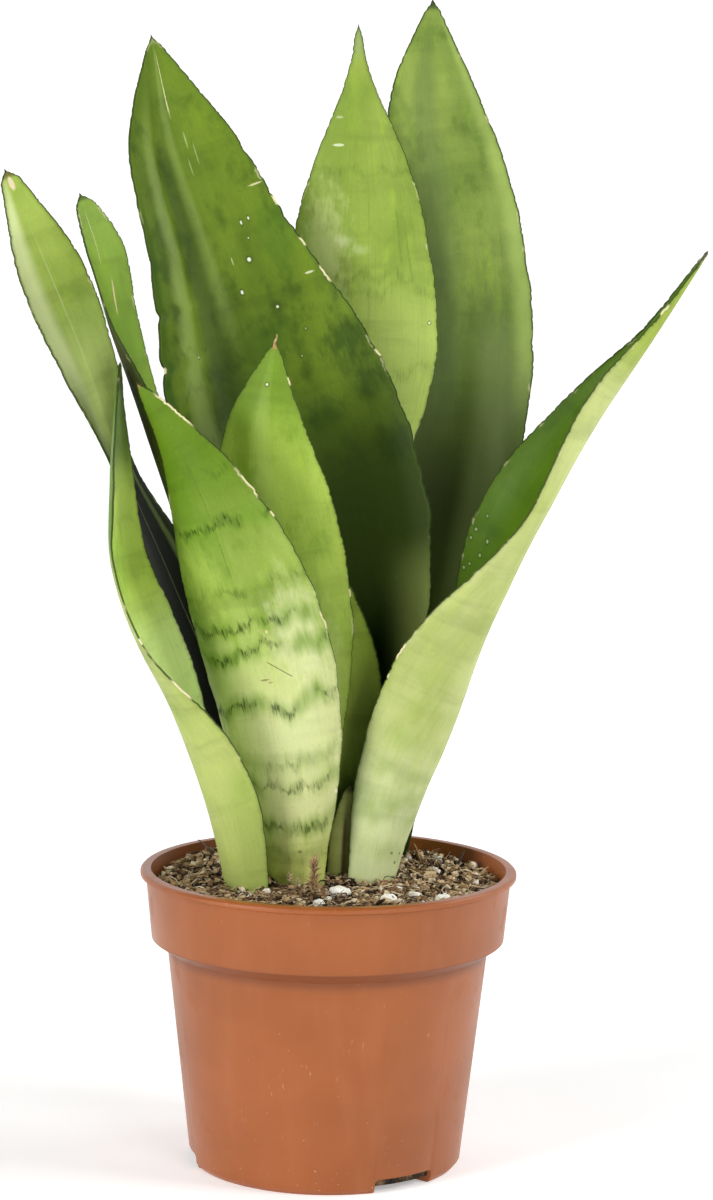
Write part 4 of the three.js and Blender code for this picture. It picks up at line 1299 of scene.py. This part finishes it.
def moss_pieces(soil_material):
    """The brown stem with spiky scales, and small tan sprigs beside it."""
    draw = np.random.RandomState(3)
    x, y = MOSS_PLACE
    foot = soil_height(x, y)
    path = ((x, y, foot - MOSS_DEPTH), (x + 0.3, y, foot + 4), (x - 0.2, y, foot + MOSS_HEIGHT - 3))
    stem = stalk("moss_stalk", path, (0.9, 0.7, 0.35))
    place_piece(stem, stalk_finish("brown_moss", "#A89060", "#6E5834"), "brown_moss", "moss_stem")
    bits = tuft(draw, (x, y, foot), MOSS_HEIGHT - 3.5, scales=90, length=3.2, tone=0.4)
    for x, y, height in SPRIGS:
        foot = (x, y, soil_height(x, y) + height * 0.6)
        bits += tuft(draw, foot, height * 0.4, scales=18, length=1.5, tone=0.6)
    place_piece(gather("moss_scales", bits), soil_material, "brown_moss")


def make_floor():
    """A plain pale sweep: floor, a round bend and a wall behind."""
    arc = np.linspace(0, np.pi / 2, ARC_POINTS)
    outline = [(-SWEEP_FRONT, 0)]
    outline += [
        (SWEEP_BACK + SWEEP_BEND * np.sin(a), SWEEP_BEND - SWEEP_BEND * np.cos(a)) for a in arc
    ]
    outline.append((SWEEP_BACK + SWEEP_BEND, SWEEP_TOP))
    sides = (-SWEEP_SIDE, SWEEP_SIDE)
    points = [(side * METRE, y * METRE, z * METRE) for side in sides for y, z in outline]
    count = len(outline)
    faces = [(i, count + i, count + i + 1, i + 1) for i in range(count - 1)]
    floor = make_mesh("floor", points, faces)
    white = Finish("pale_floor", gloss=0.1)
    white.shader.inputs["Base Color"].default_value = (0.9, 0.9, 0.9, 1)
    white.shader.inputs["Roughness"].default_value = 0.9
    white.shader.inputs["Emission Strength"].default_value = 0.6
    _, y, _ = white.place()
    glow = white.mix(y.rise(0, 3 * METRE), "#BCBCBC", "#FFFFFF")
    white.join(white.shader.inputs["Emission Color"], glow)
    floor.data.materials.append(white.material)
    floor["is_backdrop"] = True


def softbox(name, turn, rise, width, watts):
    """A square studio light that aims at the plant's middle."""
    turn, rise = np.radians((turn, rise))
    away = Vector((np.sin(turn) * np.cos(rise), -np.cos(turn) * np.cos(rise), np.sin(rise)))
    light = bpy.data.lights.new(name, "AREA")
    light.shape = "SQUARE"
    light.size = width
    light.energy = watts
    lamp = add_object(name, light)
    lamp.location = Vector((0, 0, AIM_HEIGHT)) + LIGHT_DISTANCE * away
    lamp.rotation_euler = (-away).to_track_quat("-Z", "Y").to_euler()


def light_studio():
    """Plain soft studio light: softboxes on either side, a weaker one in front, two behind."""
    for name, numbers in LIGHTS.items():
        softbox(name, *numbers)
    world = bpy.data.worlds.new("room")
    bpy.context.scene.world = world
    world.use_nodes = True
    background = world.node_tree.nodes["Background"]
    background.inputs["Color"].default_value = (1, 1, 1, 1)
    background.inputs["Strength"].default_value = ROOM_LIGHT
    bpy.context.scene.view_settings.view_transform = "Standard"


make_camera()
make_floor()
light_studio()
pot_piece()
potting_mix = soil_finish()
soil_piece(potting_mix)
crumbs_piece(potting_mix)
perlite_pieces()
twig_pieces()
moss_pieces(potting_mix)
root = stalk_finish("root", "#C9AC7C", "#9A7A50")
frame["nodes"]["rootstock"].material_slots[0].material = root
for leaf_number, leaf_name in enumerate(LEAF_ROWS, 1):
    leaf_piece(leaf_name, leaf_number)
thread_piece()

boxes = {"cad": cad_box, "visual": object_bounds()}
boxes = {name: [list(map(float, corner)) for corner in box] for name, box in boxes.items()}
